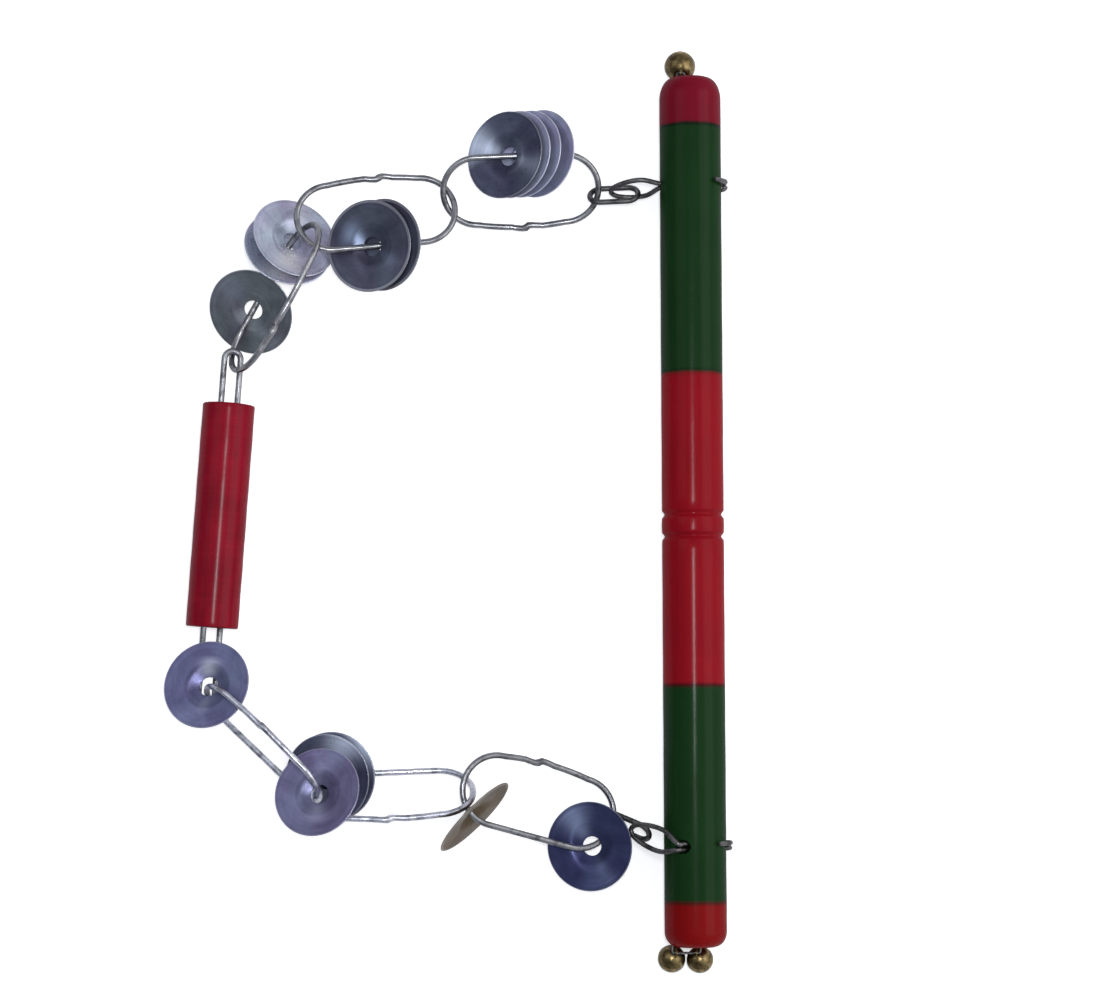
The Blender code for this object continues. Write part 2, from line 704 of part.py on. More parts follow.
def thread_discs(loops):
    """Every disc, at its place along a long side or round a bend of its link."""
    top_1, top_2, top_3 = loops["top_link_1"], loops["top_link_2"], loops["top_link_3"]
    bottom_1, bottom_2, bottom_3 = loops["bottom_link_1"], loops["bottom_link_2"], loops["bottom_link_3"]
    return [
        Disc("disc_top_1a", "top_link_1", top_1.run_point(-1, 0.0046), 175.0, 32.5),
        Disc("disc_top_1b", "top_link_1", top_1.run_point(-1, 0.0002), 175.5, 35.5),
        Disc("disc_top_1c", "top_link_1", top_1.run_point(-1, -0.0048), 175.0, 37.0),
        Disc("disc_top_1d", "top_link_1", top_1.run_point(-1, -0.0106), 178.0, 37.0),
        Disc("disc_top_2a", "top_link_2", top_2.run_point(1, 0.0033), 189.5, 22.6, radius=LARGE_DISC_RADIUS),
        Disc("disc_top_2b", "top_link_2", top_2.run_point(1, -0.0030), 187.0, 31.5, radius=LARGE_DISC_RADIUS),
        Disc("disc_top_3a", "top_link_3", top_3.run_point(-1, 0.0011 - top_3.half_run), 53.0, 32.5),
        Disc("disc_top_3b", "top_link_3", top_3.bend_point(-1, -73.7), 40.4, 35.2),
        Disc("disc_top_3c", "top_link_3", top_3.run_point(-1, 0.0093), 237.5, 30.0),
        Disc("disc_bottom_3a", "bottom_link_3", bottom_3.bend_point(1, -20.0), 131.0, 21.0),
        Disc("disc_bottom_3b", "bottom_link_3", bottom_3.bend_point(-1, -15.0), 134.5, 25.5),
        Disc("disc_bottom_2a", "bottom_link_2", bottom_2.bend_point(1, -53.0), 200.5, 17.0, dish=-1),
        Disc("disc_bottom_2b", "bottom_link_2", bottom_2.bend_point(1, -64.0), 199.0, 15.0, dish=-1),
        Disc("disc_bottom_1a", "bottom_link_1", bottom_1.bend_point(1, 51.5), 315.5, 78.0,
             radius=LARGE_DISC_RADIUS, finish="brassy_sheet"),
        Disc("disc_bottom_1b", "bottom_link_1", bottom_1.bend_point(-1, 54.0), 182.5, 19.5),
    ]


def build_grip(grip_wire):
    """The tube that turns round the twisted wire."""
    half = GRIP_LENGTH / 2.0
    lip = 0.0008
    profile = [(GRIP_BORE_RADIUS, -half), (GRIP_OUTER_RADIUS - lip, -half), (GRIP_OUTER_RADIUS, -half + lip),
               (GRIP_OUTER_RADIUS, half - lip), (GRIP_OUTER_RADIUS - lip, half), (GRIP_BORE_RADIUS, half)]
    grip = lathe("grip", profile, 28, "grip_red", True)
    along = direction(grip_wire.heading, grip_wire.pitch)
    middle = grip_wire.middle - along * GRIP_SLIDE
    grip.matrix_world = Matrix.Translation(middle) @ UP.rotation_difference(along).to_matrix().to_4x4()
    return grip


def hang_on(child, parent):
    """Parents a piece where it stands."""
    bpy.context.view_layer.update()
    child.parent = parent
    child.matrix_parent_inverse = parent.matrix_world.inverted()


def main():
    clear_scene()
    loops, hooks = lay_out_chain()
    pieces = {}
    for eye in (TOP_EYE, BOTTOM_EYE):
        pieces[eye.name] = eye.build()
    for name, loop in loops.items():
        pieces[name] = wire(name, loop.outline(), loop.diameter, "chain_wire")
    for disc in thread_discs(loops):
        pieces[disc.name] = disc.build()
        hang_on(pieces[disc.name], pieces[disc.loop])
    pieces["grip"] = build_grip(loops["grip_wire"])
    hang_on(pieces["grip"], pieces["grip_wire"])

    bells = {
        1: [Bell("bell_top", TOP_BELL_RADIUS, -0.0040, TOP_BELL_RADIUS + SEAT_GAP, -0.0040, 1)],
        -1: [Bell("bell_bottom_left", BOTTOM_BELL_RADIUS, -0.0102, 0.0058, -0.0085, -1),
             Bell("bell_bottom_right", SMALL_BELL_RADIUS, 0.0021, SMALL_BELL_RADIUS + 0.0005, 0.0004, -1)],
    }
    cutters = [TOP_EYE.cutter(), BOTTOM_EYE.cutter()]
    for end, group in bells.items():
        legs = pin_legs(group)
        name = "bell_pin_top" if end == 1 else "bell_pin_bottom"
        path = pin_path(legs, end)
        pieces[name] = wire(name, path, BELL_PIN_WIRE, "chain_wire", closed=False, resolution=1)
        cutters += [pin_hole(x, height, end) for x, height in legs]
        for bell in group:
            bell.build()
    build_rod(cutters)
    report(loops, hooks)


def report(loops, hooks):
    """Prints where the chain hangs, for whoever places joints on it."""
    for name, hook in hooks.items():
        spot = hook.spot()
        gap = wire_gap(hook.first, hook.second)
        print("hook %s at %.5f %.5f %.5f gap %.5f slack %.5f" % (name, *spot, gap, hook.slack))
    for name, loop in loops.items():
        print("loop %s middle %.5f %.5f %.5f heading %.2f" % (name, *loop.middle, loop.heading % 360.0))


main()
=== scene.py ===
"""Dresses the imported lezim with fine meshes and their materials, in a small studio."""
import math
from typing import NamedTuple

import bmesh
import bpy
import numpy as np
from mathutils import Matrix, Vector


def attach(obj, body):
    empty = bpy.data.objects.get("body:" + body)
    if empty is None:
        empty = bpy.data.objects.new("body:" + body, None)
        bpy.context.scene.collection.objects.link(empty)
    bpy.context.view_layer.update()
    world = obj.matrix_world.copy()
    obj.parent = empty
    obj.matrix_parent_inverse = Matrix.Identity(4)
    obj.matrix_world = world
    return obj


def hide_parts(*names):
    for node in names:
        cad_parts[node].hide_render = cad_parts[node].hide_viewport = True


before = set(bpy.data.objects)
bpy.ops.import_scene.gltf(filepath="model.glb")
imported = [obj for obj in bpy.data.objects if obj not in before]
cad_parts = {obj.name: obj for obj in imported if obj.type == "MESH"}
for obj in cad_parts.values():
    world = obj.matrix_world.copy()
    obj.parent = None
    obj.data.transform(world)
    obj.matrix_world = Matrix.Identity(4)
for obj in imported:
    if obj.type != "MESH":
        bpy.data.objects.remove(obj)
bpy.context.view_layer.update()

UP = Vector((0.0, 0.0, 1.0))

# Rod
ROD_RADIUS = 0.0135
ROD_LENGTH = 0.3800
ROD_END_FLAT_RADIUS = 0.0079
TOP_END_ROUND = 0.0095
BOTTOM_END_ROUND = 0.0065
GROOVE_PLACE = -0.0077
GROOVE_SPACING = 0.0096
GROOVE_WIDTH = 0.0018
GROOVE_DEPTH = 0.0011
PAINT_EDGES = (-0.1701, -0.0768, 0.0587, 0.1675)
PAINT_SEAM = 0.0009
ROD_SIDE_END = 0.1800
ROD_UNEVEN = 0.00003
BEAD_RISE = 0.00012

# Staples
STAPLE_WIRE = 0.0023
STAPLE_LEG_SPACING = 0.0027
STAPLE_HOLE_RADIUS = 0.0031
EYE_HALF_WIDTH = 0.0046
CLINCH_DEGREES = 48.0
CLINCH_GAP = 0.0006
CLINCH_LIFT = 0.0004
# Staples and shackles have this share of the wire's width, so that they stay clear when the chain lifts
EYE_WIRE_SHARE = 0.955

# Loops of wire
LINK_WIRE = 0.0027
LINK_HALF_WIDTH = 0.0152
LINK_BOW = 0.0016
SHACKLE_WIRE = 0.0026
SHACKLE_HALF_LENGTH = 0.0107
SHACKLE_HALF_WIDTH = 0.0048
WELD_REACH = 0.006
WELD_HALF_WIDTH = 0.0013
WELD_SWELL = 0.24
WELD_STEP = 0.0008
WIDE_BEND = 0.01
WIDE_BEND_STEPS = 28
NARROW_BEND_STEPS = 16
RUN_STEPS = 26
TWISTED_RUN_STEPS = 60
TWIST_START = 0.12
TWIST_SPAN = 0.76


class Loop(NamedTuple):
    """A closed loop of wire: place, size, how it is turned, and the side that bows and has the weld."""
    middle: tuple
    half_length: float
    half_width: float
    wire: float
    heading: float
    pitch: float
    roll: float
    bowed_side: int = 0
    weld: float = 0.0
    far_roll: float = None


def shackle(middle, heading, pitch, roll):
    return Loop(middle, SHACKLE_HALF_LENGTH, SHACKLE_HALF_WIDTH, SHACKLE_WIRE, heading, pitch, roll)


def link(middle, half_length, heading, pitch, roll, bowed_side, weld):
    return Loop(middle, half_length, LINK_HALF_WIDTH, LINK_WIRE, heading, pitch, roll, bowed_side, weld)


LOOPS = {
    "shackle_top": shackle((-0.03365, 0.13920, 0.00918), 181.0, -7.5, 42.0),
    "top_link_1": link((-0.07482, 0.14165, 0.00912), 0.0344, 182.0, 0.0, -23.0, 1, -0.002),
    "top_link_2": link((-0.13859, 0.13063, 0.01249), 0.0350, 186.0, 7.5, 11.0, -1, -0.003),
    "top_link_3": link((-0.18221, 0.09240, 0.02105), 0.0360, 240.5, -4.0, 59.5, 1, 0.012),
    "shackle_bottom": shackle((-0.02924, -0.13831, 0.00749), 157.5, -17.5, -53.0),
    "bottom_link_1": link((-0.06782, -0.12754, 0.01253), 0.0344, 164.0, 13.0, 6.0, -1, 0.004),
    "bottom_link_2": link((-0.13094, -0.12375, 0.01974), 0.0350, 182.0, 4.5, 53.5, 1, 0.002),
    "bottom_link_3": link((-0.18667, -0.10169, 0.02083), 0.0344, 136.85, -7.0, -68.5, -1, 0.003),
}
GRIP_WIRE = Loop((-0.20690, -0.00732, 0.01240), 0.07745, 0.0036, LINK_WIRE, 265.87, 0.0, -17.5,
                 far_roll=188.0)

# Grip tube
GRIP_LENGTH = 0.0980
GRIP_SLIDE = 0.0048
GRIP_OUTER_RADIUS = 0.0114
GRIP_BORE_RADIUS = 0.0056
GRIP_CHAMFER = 0.0004
GRIP_EDGE_ROUND = 0.0008

# Discs
DISC_HOLE_RADIUS = 0.0043
DISC_BOWL_RADIUS = 0.0095
DISC_BOWL_DEPTH = 0.0034
DISC_FLANGE_DROP = 0.0010
DISC_SHEET = 0.00065
DISC_SHEEN_SPAN = 0.02
# Where the painted rim highlight on each disc starts, and how sharply it rises
RIM_HIGHLIGHT_START = 0.01885
RIM_SHARPNESS = 2600.0
DISC_WARP = 0.00007
DISC_RIPPLE = 0.00003

# Bells and their pins
BELL_WALL = 0.0006
BELL_SLIT = 0.0016
BELL_SEAM = 0.0001
BELL_LOOP_WIRE = 0.0009
BELL_LOOP_RADIUS = 0.0017
PELLET_RADIUS = 0.0019
PELLET_GAP = 0.0006
BELL_PIN_WIRE = 0.0011
BELL_PIN_REACH = 0.0028
BELL_PIN_DEPTH = 0.0080
BELL_SIDE_ROOM = 0.0006
SEAT_GAP = 0.0003
BELL_PIN_HOLE_RADIUS = 0.00095

# Floor and lamps
FLOOR_HALF_SIZE = 2.5
FLOOR_DROP = 0.0002
FLOOR_GLOW = 0.55
LAMP_TARGET = (-0.05, 0.0, 0.0)

# Camera: the calibrated view of the photograph
ELEVATION = math.radians(86.0)
ROLL = math.radians(0.2)
DISTANCE = 1.2023
TARGET = Vector((-0.0624, 0.0029, 0.0135))
SENSOR_WIDTH = 36.0
FOCAL_LENGTH_PIXELS = 2750.0
PHOTO_WIDTH_PIXELS = 1100.0


def direction(heading, pitch):
    h, p = math.radians(heading), math.radians(pitch)
    return Vector((math.cos(h) * math.cos(p), math.sin(h) * math.cos(p), math.sin(p)))


def frame_of(heading, pitch, roll):
    """Columns along, across and square to a flat loop of wire."""
    along = direction(heading, pitch)
    level = direction(heading + 90.0, 0.0)
    turned = along.cross(level)
    across = level * math.cos(math.radians(roll)) + turned * math.sin(math.radians(roll))
    return Matrix((along, across, along.cross(across))).transposed()


# Materials

def new_material(name):
    made = bpy.data.materials.new(name)
    made.use_nodes = True
    tree = made.node_tree
    return made, tree, tree.nodes["Principled BSDF"]


def noise(tree, vector, scale, detail=4.0, rough=0.55, distortion=0.0):
    made = tree.nodes.new("ShaderNodeTexNoise")
    made.inputs["Scale"].default_value = scale
    made.inputs["Detail"].default_value = detail
    made.inputs["Roughness"].default_value = rough
    made.inputs["Distortion"].default_value = distortion
    tree.links.new(vector, made.inputs["Vector"])
    return made.outputs["Fac"]


def ramp(tree, fac, stops):
    made = tree.nodes.new("ShaderNodeValToRGB")
    elements = made.color_ramp.elements
    while len(elements) > 1:
        elements.remove(elements[-1])
    elements[0].position = stops[0][0]
    elements[0].color = stops[0][1]
    for place, colour in stops[1:]:
        elements.new(place).color = colour
    tree.links.new(fac, made.inputs["Fac"])
    return made.outputs["Color"]


def grey(value):
    return (value, value, value, 1.0)


def rgb(r, g, b):
    return (r, g, b, 1.0)


def maths(tree, operation, first, second=None, third=None):
    made = tree.nodes.new("ShaderNodeMath")
    made.operation = operation
    for slot, value in zip(made.inputs, (first, second, third)):
        if value is None:
            continue
        if isinstance(value, (int, float)):
            slot.default_value = value
        else:
            tree.links.new(value, slot)
    return made.outputs["Value"]


def stretched(tree, source, scale):
    made = tree.nodes.new("ShaderNodeMapping")
    made.inputs["Scale"].default_value = scale
    tree.links.new(source, made.inputs["Vector"])
    return made.outputs["Vector"]


def object_coordinates(tree):
    return tree.nodes.new("ShaderNodeTexCoord").outputs["Object"]


def bump(tree, shader, height, strength, distance):
    made = tree.nodes.new("ShaderNodeBump")
    made.inputs["Strength"].default_value = strength
    made.inputs["Distance"].default_value = distance
    tree.links.new(height, made.inputs["Height"])
    tree.links.new(made.outputs["Normal"], shader.inputs["Normal"])


def mix(tree, fac, first, second, blend="MIX"):
    made = tree.nodes.new("ShaderNodeMix")
    made.data_type = "RGBA"
    made.blend_type = blend
    for slot, value in ((made.inputs[0], fac), (made.inputs[6], first), (made.inputs[7], second)):
        if isinstance(value, (int, float, tuple)):
            slot.default_value = value
        else:
            tree.links.new(value, slot)
    return made.outputs[2]


def wire_material(name, dark, light, rough_low, rough_high):
    """Drawn steel wire: a fine grain, dull patches and small dark specks of dirt."""
    made, tree, shader = new_material(name)
    where = object_coordinates(tree)
    patches = noise(tree, where, 160.0, 5.0, 0.6)
    fine = noise(tree, where, 1700.0, 3.0, 0.6)
    colour = ramp(tree, patches, [(0.30, dark), (0.52, light), (0.72, light)])
    specks = ramp(tree, noise(tree, where, 620.0, 4.0, 0.7), [(0.30, grey(0.45)), (0.42, grey(1.0))])
    tree.links.new(mix(tree, 1.0, colour, specks, "MULTIPLY"), shader.inputs["Base Color"])
    rough = ramp(tree, patches, [(0.3, grey(rough_high)), (0.7, grey(rough_low))])
    tree.links.new(rough, shader.inputs["Roughness"])
    shader.inputs["Metallic"].default_value = 1.0
    bump(tree, shader, fine, 0.25, 0.00006)
    return made


def disc_material(name, dark, light, rough, sheen, reach, stained):
    """Pressed sheet: rings of the forming tool, cloudy tarnish, scratches, a painted highlight across one
    wedge and a lighter rim painted as a rim highlight.
    """
    made, tree, shader = new_material(name)
    where = object_coordinates(tree)
    split = tree.nodes.new("ShaderNodeSeparateXYZ")
    tree.links.new(where, split.inputs["Vector"])
    flat = maths(tree, "ADD", maths(tree, "MULTIPLY", split.outputs["X"], split.outputs["X"]),
                 maths(tree, "MULTIPLY", split.outputs["Y"], split.outputs["Y"]))
    radius = maths(tree, "SQRT", flat)
    ring_place = tree.nodes.new("ShaderNodeCombineXYZ")
    tree.links.new(radius, ring_place.inputs["X"])
    rings = noise(tree, ring_place.outputs["Vector"], 1500.0, 5.0, 0.65)
    wide_rings = noise(tree, ring_place.outputs["Vector"], 330.0, 2.0, 0.5)
    clouds = noise(tree, where, 62.0, 5.0, 0.55, 0.6)
    stains = noise(tree, where, 210.0, 6.0, 0.62)
    colour = ramp(tree, clouds, [(0.30, dark), (0.70, light)])
    tinge = [(0.35, rgb(1.0, 0.86, 1.0)), (0.65, rgb(0.90, 1.0, 0.98))]
    colour = mix(tree, 0.8, colour, ramp(tree, noise(tree, where, 45.0, 2.0), tinge), "MULTIPLY")
    ring_shade = ramp(tree, wide_rings, [(0.35, grey(0.35)), (0.65, grey(1.0))])
    colour = mix(tree, 0.30, colour, ring_shade, "MULTIPLY")
    stain_shade = ramp(tree, stains, [(0.36, grey(0.42)), (0.50, grey(1.0))])
    colour = mix(tree, stained, colour, stain_shade, "MULTIPLY")
    # Painted highlight: a bright wedge towards the disc's X axis and a weaker one opposite, faded near the
    # hole and the rim and broken up by the rings
    toward = maths(tree, "DIVIDE", split.outputs["X"], maths(tree, "ADD", radius, 0.0002))
    ahead = maths(tree, "POWER", maths(tree, "MAXIMUM", toward, 0.0), 9.0)
    behind = maths(tree, "POWER", maths(tree, "MAXIMUM", maths(tree, "MULTIPLY", toward, -1.0), 0.0), 26.0)
    painted_sheen = maths(tree, "MULTIPLY_ADD", behind, 0.45, ahead)
    per_metre = 1.0 / DISC_SHEEN_SPAN
    gone = min(per_metre * reach + 0.24, 1.0)
    fade = ramp(tree, maths(tree, "MULTIPLY", radius, per_metre),
                [(0.20, grey(0.15)), (0.34, grey(1.0)), (per_metre * reach, grey(0.75)), (gone, grey(0.0))])
    uneven = maths(tree, "MULTIPLY_ADD", wide_rings, 0.9, 0.55)
    painted_sheen = maths(tree, "MULTIPLY", maths(tree, "MULTIPLY", painted_sheen, fade), uneven)
    colour = mix(tree, painted_sheen, colour, sheen, "SCREEN")
    # Painted rim highlight: near the outer edge the colour is screened towards a lighter tone (worn)
    rim = maths(tree, "MULTIPLY_ADD", radius, RIM_SHARPNESS, -RIM_SHARPNESS * RIM_HIGHLIGHT_START)
    rim = ramp(tree, rim, [(0.0, grey(0.0)), (0.8, grey(0.40))])
    worn = tuple(0.35 + 0.65 * c for c in light[:3]) + (1.0,)
    colour = mix(tree, rim, colour, worn, "SCREEN")
    tree.links.new(colour, shader.inputs["Base Color"])
    shader.inputs["Metallic"].default_value = 0.60
    shader.inputs["Specular IOR Level"].default_value = 0.45
    shader.inputs["Anisotropic"].default_value = 0.70
    tangent = tree.nodes.new("ShaderNodeTangent")
    tangent.direction_type = "RADIAL"
    tangent.axis = "Z"
    tree.links.new(tangent.outputs["Tangent"], shader.inputs["Tangent"])
    worn_away = maths(tree, "MULTIPLY_ADD", stains, 0.22, maths(tree, "MULTIPLY", rings, 0.14))
    tree.links.new(maths(tree, "ADD", worn_away, rough - 0.18), shader.inputs["Roughness"])
    scratches = noise(tree, stretched(tree, where, (2600.0, 190.0, 190.0)), 1.0, 2.0, 0.5)
    height = maths(tree, "MULTIPLY_ADD", scratches, 0.4, maths(tree, "MULTIPLY", rings, 0.6))
    height = maths(tree, "ADD", height, maths(tree, "MULTIPLY", clouds, 2.2))
    bump(tree, shader, height, 0.20, 0.00025)
    return made


def paint_material():
    """Gloss paint over turned wood: five bands with brushed edges, turning lines, dust and dark joins."""
    made, tree, shader = new_material("rod_paint")
    where = object_coordinates(tree)
    split = tree.nodes.new("ShaderNodeSeparateXYZ")
    tree.links.new(where, split.inputs["Vector"])
    along = split.outputs["Y"]
    wobble = maths(tree, "MULTIPLY_ADD", noise(tree, where, 190.0, 3.0), 0.0012, -0.0006)
    edge = maths(tree, "ADD", along, wobble)
    share = maths(tree, "MULTIPLY_ADD", edge, 1.0 / ROD_LENGTH, 0.5)
    red = rgb(0.262, 0.0035, 0.0100)
    green = rgb(0.0062, 0.0335, 0.0070)
    cap_bottom = rgb(0.212, 0.0030, 0.0040)
    cap_top = rgb(0.180, 0.0040, 0.0160)
    seam_red = rgb(0.055, 0.003, 0.004)
    seam_green = rgb(0.003, 0.010, 0.004)
    colours = (cap_bottom, green, red, green, cap_top)
    seams = (seam_green, seam_red, seam_green, seam_green)
    places = [(y + ROD_LENGTH / 2.0) / ROD_LENGTH for y in PAINT_EDGES]
    half_seam = PAINT_SEAM / 2.0 / ROD_LENGTH
    stops = [(0.0, colours[0])]
    for k, place in enumerate(places):
        stops.append((place - half_seam * 2.0, colours[k]))
        stops.append((place - half_seam, seams[k]))
        stops.append((place + half_seam, seams[k]))
        stops.append((place + half_seam * 2.0, colours[k + 1]))
    bands = ramp(tree, share, stops)
    streaks = noise(tree, stretched(tree, where, (900.0, 16.0, 900.0)), 1.0, 4.0, 0.6)
    turning = noise(tree, stretched(tree, where, (12.0, 1900.0, 12.0)), 1.0, 3.0, 0.6)
    cloud = noise(tree, where, 34.0, 4.0, 0.6)
    worn = [(0.30, grey(0.55)), (0.62, grey(1.0))]
    colour = mix(tree, 0.30, bands, ramp(tree, streaks, worn), "MULTIPLY")
    colour = mix(tree, 0.30, colour, ramp(tree, cloud, worn), "MULTIPLY")
    dust = ramp(tree, noise(tree, where, 2600.0, 2.0), [(0.72, grey(0.0)), (0.80, grey(0.25))])
    colour = mix(tree, dust, colour, (0.30, 0.26, 0.22, 1.0))
    tree.links.new(colour, shader.inputs["Base Color"])
    rough = maths(tree, "MULTIPLY_ADD", cloud, 0.25, 0.30)
    tree.links.new(rough, shader.inputs["Roughness"])
    shader.inputs["Coat Weight"].default_value = 0.13
    shader.inputs["Coat Roughness"].default_value = 0.19
    shader.inputs["Specular IOR Level"].default_value = 0.02
    height = maths(tree, "ADD", maths(tree, "MULTIPLY", turning, 0.5), maths(tree, "MULTIPLY", streaks, 0.5))
    height = maths(tree, "ADD", height, maths(tree, "MULTIPLY", cloud, 1.2))
    bump(tree, shader, height, 0.30, 0.00022)
    return made


def grip_material():
    """Dark red lacquered tube with turning rings and long worn streaks."""
    made, tree, shader = new_material("grip_lacquer")
    where = object_coordinates(tree)
    rings = noise(tree, stretched(tree, where, (30.0, 30.0, 1500.0)), 1.0, 4.0, 0.62)
    streaks = noise(tree, stretched(tree, where, (420.0, 420.0, 9.0)), 1.0, 4.0, 0.6)
    cloud = noise(tree, where, 55.0, 5.0, 0.6)
    colour = ramp(tree, cloud, [(0.28, rgb(0.185, 0.0025, 0.0115)), (0.72, rgb(0.300, 0.0045, 0.0190))])
    streak_shade = ramp(tree, streaks, [(0.32, grey(0.45)), (0.60, grey(1.0))])
    colour = mix(tree, 0.35, colour, streak_shade, "MULTIPLY")
    ring_shade = ramp(tree, rings, [(0.35, grey(0.50)), (0.60, grey(1.0))])
    colour = mix(tree, 0.20, colour, ring_shade, "MULTIPLY")
    tree.links.new(colour, shader.inputs["Base Color"])
    tree.links.new(maths(tree, "MULTIPLY_ADD", cloud, 0.30, 0.20), shader.inputs["Roughness"])
    shader.inputs["Coat Weight"].default_value = 0.16
    shader.inputs["Coat Roughness"].default_value = 0.20
    shader.inputs["Specular IOR Level"].default_value = 0.03
    height = maths(tree, "ADD", maths(tree, "MULTIPLY", rings, 0.8), maths(tree, "MULTIPLY", streaks, 0.8))
    bump(tree, shader, height, 0.35, 0.00025)
    return made


def brass_material():
    """Thin tarnished brass: brown and olive clouds over bright worn patches."""
    made, tree, shader = new_material("bell_brass")
    where = object_coordinates(tree)
    cloud = noise(tree, where, 190.0, 5.0, 0.6, 0.4)
    fine = noise(tree, where, 900.0, 4.0, 0.6)
    brown, olive, worn = rgb(0.050, 0.036, 0.016), rgb(0.190, 0.140, 0.062), rgb(0.420, 0.320, 0.170)
    colour = ramp(tree, cloud, [(0.30, brown), (0.50, olive), (0.70, worn)])
    dirt = ramp(tree, fine, [(0.34, grey(0.35)), (0.52, grey(1.0))])
    colour = mix(tree, 0.40, colour, dirt, "MULTIPLY")
    tree.links.new(colour, shader.inputs["Base Color"])
    shader.inputs["Metallic"].default_value = 1.0
    tree.links.new(maths(tree, "MULTIPLY_ADD", fine, 0.34, 0.14), shader.inputs["Roughness"])
    bump(tree, shader, cloud, 0.35, 0.0002)
    return made


STEEL = wire_material("steel_wire", rgb(0.080, 0.080, 0.086), rgb(0.310, 0.312, 0.330), 0.24, 0.44)
# A lighter copy of the steel wire, as a painted highlight on the links that it dresses
PAINTED_HIGHLIGHT_STEEL = wire_material("steel_wire_painted_highlight", rgb(0.170, 0.172, 0.200), rgb(0.66, 0.67, 0.75), 0.22, 0.40)
DARK_STEEL = wire_material("dull_wire", rgb(0.040, 0.039, 0.040), rgb(0.150, 0.145, 0.145), 0.28, 0.50)
PAINT = paint_material()
GRIP_RED = grip_material()
BRASS = brass_material()
PELLET = wire_material("pellet_steel", rgb(0.12, 0.12, 0.12), rgb(0.40, 0.40, 0.42), 0.25, 0.50)


class Sheet(NamedTuple):
    """A disc's two colours and roughness, its painted highlight's colour and reach, and how stained it is."""
    dark: tuple
    light: tuple
    rough: float
    sheen: tuple
    reach: float
    stained: float


SHEETS = {
    "slate": Sheet(rgb(0.048, 0.053, 0.082), rgb(0.118, 0.125, 0.174), 0.34,
                  rgb(0.26, 0.34, 0.50), 0.0120, 0.15),
    "glint": Sheet(rgb(0.045, 0.048, 0.095), rgb(0.115, 0.125, 0.185), 0.30,
                  rgb(0.70, 0.79, 0.98), 0.0185, 0.12),
    # A lighter blue as painted light: these discs lie in the shade of their neighbours, and their colour is
    # lifted to make up for it
    "blue_painted_light": Sheet(rgb(0.330, 0.340, 0.480), rgb(0.620, 0.640, 0.820), 0.32,
                  rgb(0.30, 0.33, 0.42), 0.0125, 0.15),
    "navy": Sheet(rgb(0.020, 0.026, 0.085), rgb(0.060, 0.070, 0.170), 0.34,
                  rgb(0.20, 0.25, 0.38), 0.0170, 0.15),
    "silver": Sheet(rgb(0.300, 0.320, 0.430), rgb(0.590, 0.610, 0.740), 0.28,
                  rgb(0.85, 0.84, 0.86), 0.0150, 0.10),
    "green_grey": Sheet(rgb(0.110, 0.130, 0.140), rgb(0.215, 0.240, 0.262), 0.42,
                  rgb(0.07, 0.09, 0.13), 0.0165, 0.25),
    "lilac": Sheet(rgb(0.085, 0.090, 0.185), rgb(0.195, 0.200, 0.345), 0.34,
                  rgb(0.60, 0.63, 0.74), 0.0085, 0.15),
    "violet": Sheet(rgb(0.105, 0.095, 0.180), rgb(0.225, 0.215, 0.360), 0.34,
                  rgb(0.30, 0.33, 0.46), 0.0100, 0.15),
    "brassy": Sheet(rgb(0.060, 0.032, 0.012), rgb(0.175, 0.115, 0.052), 0.38,
                  rgb(0.12, 0.09, 0.05), 0.0120, 0.75),
}
DISC_LOOKS = {look: disc_material("disc_" + look, *sheet) for look, sheet in SHEETS.items()}


# Meshes

def link_object(name, data, look):
    made = bpy.data.objects.new(name, data)
    data.materials.clear()
    data.materials.append(look)
    bpy.context.scene.collection.objects.link(made)
    return made


def settle(piece, body, cad_node):
    """Hands one finished piece to the frame."""
    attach(piece, body)
    if cad_node:
        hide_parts(cad_node)


def mesh_object(name, bm, look, smooth_degrees=40.0):
    bmesh.ops.recalc_face_normals(bm, faces=bm.faces)
    mesh = bpy.data.meshes.new(name)
    bm.to_mesh(mesh)
    bm.free()
    mesh.shade_smooth()
    mesh.set_sharp_from_angle(angle=math.radians(smooth_degrees))
    return link_object(name, mesh, look)


def tube(name, points, radii, look, closed, sides=14):
    """A round wire swept along points without twist, with its own radius at each point."""
    points = [Vector(p) for p in points]
    count = len(points)
    bm = bmesh.new()
    tangents = []
    for k in range(count):
        if closed:
            tangents.append((points[(k + 1) % count] - points[k - 1]).normalized())
        else:
            tangents.append((points[min(k + 1, count - 1)] - points[max(k - 1, 0)]).normalized())
    normal = tangents[0].orthogonal().normalized()
    normals = [normal]
    for k in range(1, count):
        turn = tangents[k - 1].rotation_difference(tangents[k])
        normal = turn @ normals[-1]
        normals.append((normal - tangents[k] * normal.dot(tangents[k])).normalized())
    slip = 0.0
    if closed:
        last = tangents[-1].rotation_difference(tangents[0]) @ normals[-1]
        side = tangents[0].cross(normals[0])
        slip = math.atan2(last.dot(side), last.dot(normals[0]))
    rings = []
    for k in range(count):
        back = -slip * k / count
        a = normals[k]
        b = tangents[k].cross(a)
        ring = []
        for j in range(sides):
            angle = math.tau * j / sides + back
            offset = a * math.cos(angle) + b * math.sin(angle)
            ring.append(bm.verts.new(points[k] + offset * radii[k]))
        rings.append(ring)
    for k in range(count if closed else count - 1):
        first, second = rings[k], rings[(k + 1) % count]
        for j in range(sides):
            bm.faces.new((first[j], first[(j + 1) % sides], second[(j + 1) % sides], second[j]))
    if not closed:
        for ring, end, sign in ((rings[0], 0, -1), (rings[-1], count - 1, 1)):
            centre = bm.verts.new(points[end] + tangents[end] * sign * radii[end] * 0.25)
            for j in range(sides):
                bm.faces.new((ring[j], ring[(j + 1) % sides], centre))
    return mesh_object(name, bm, look, 60.0)


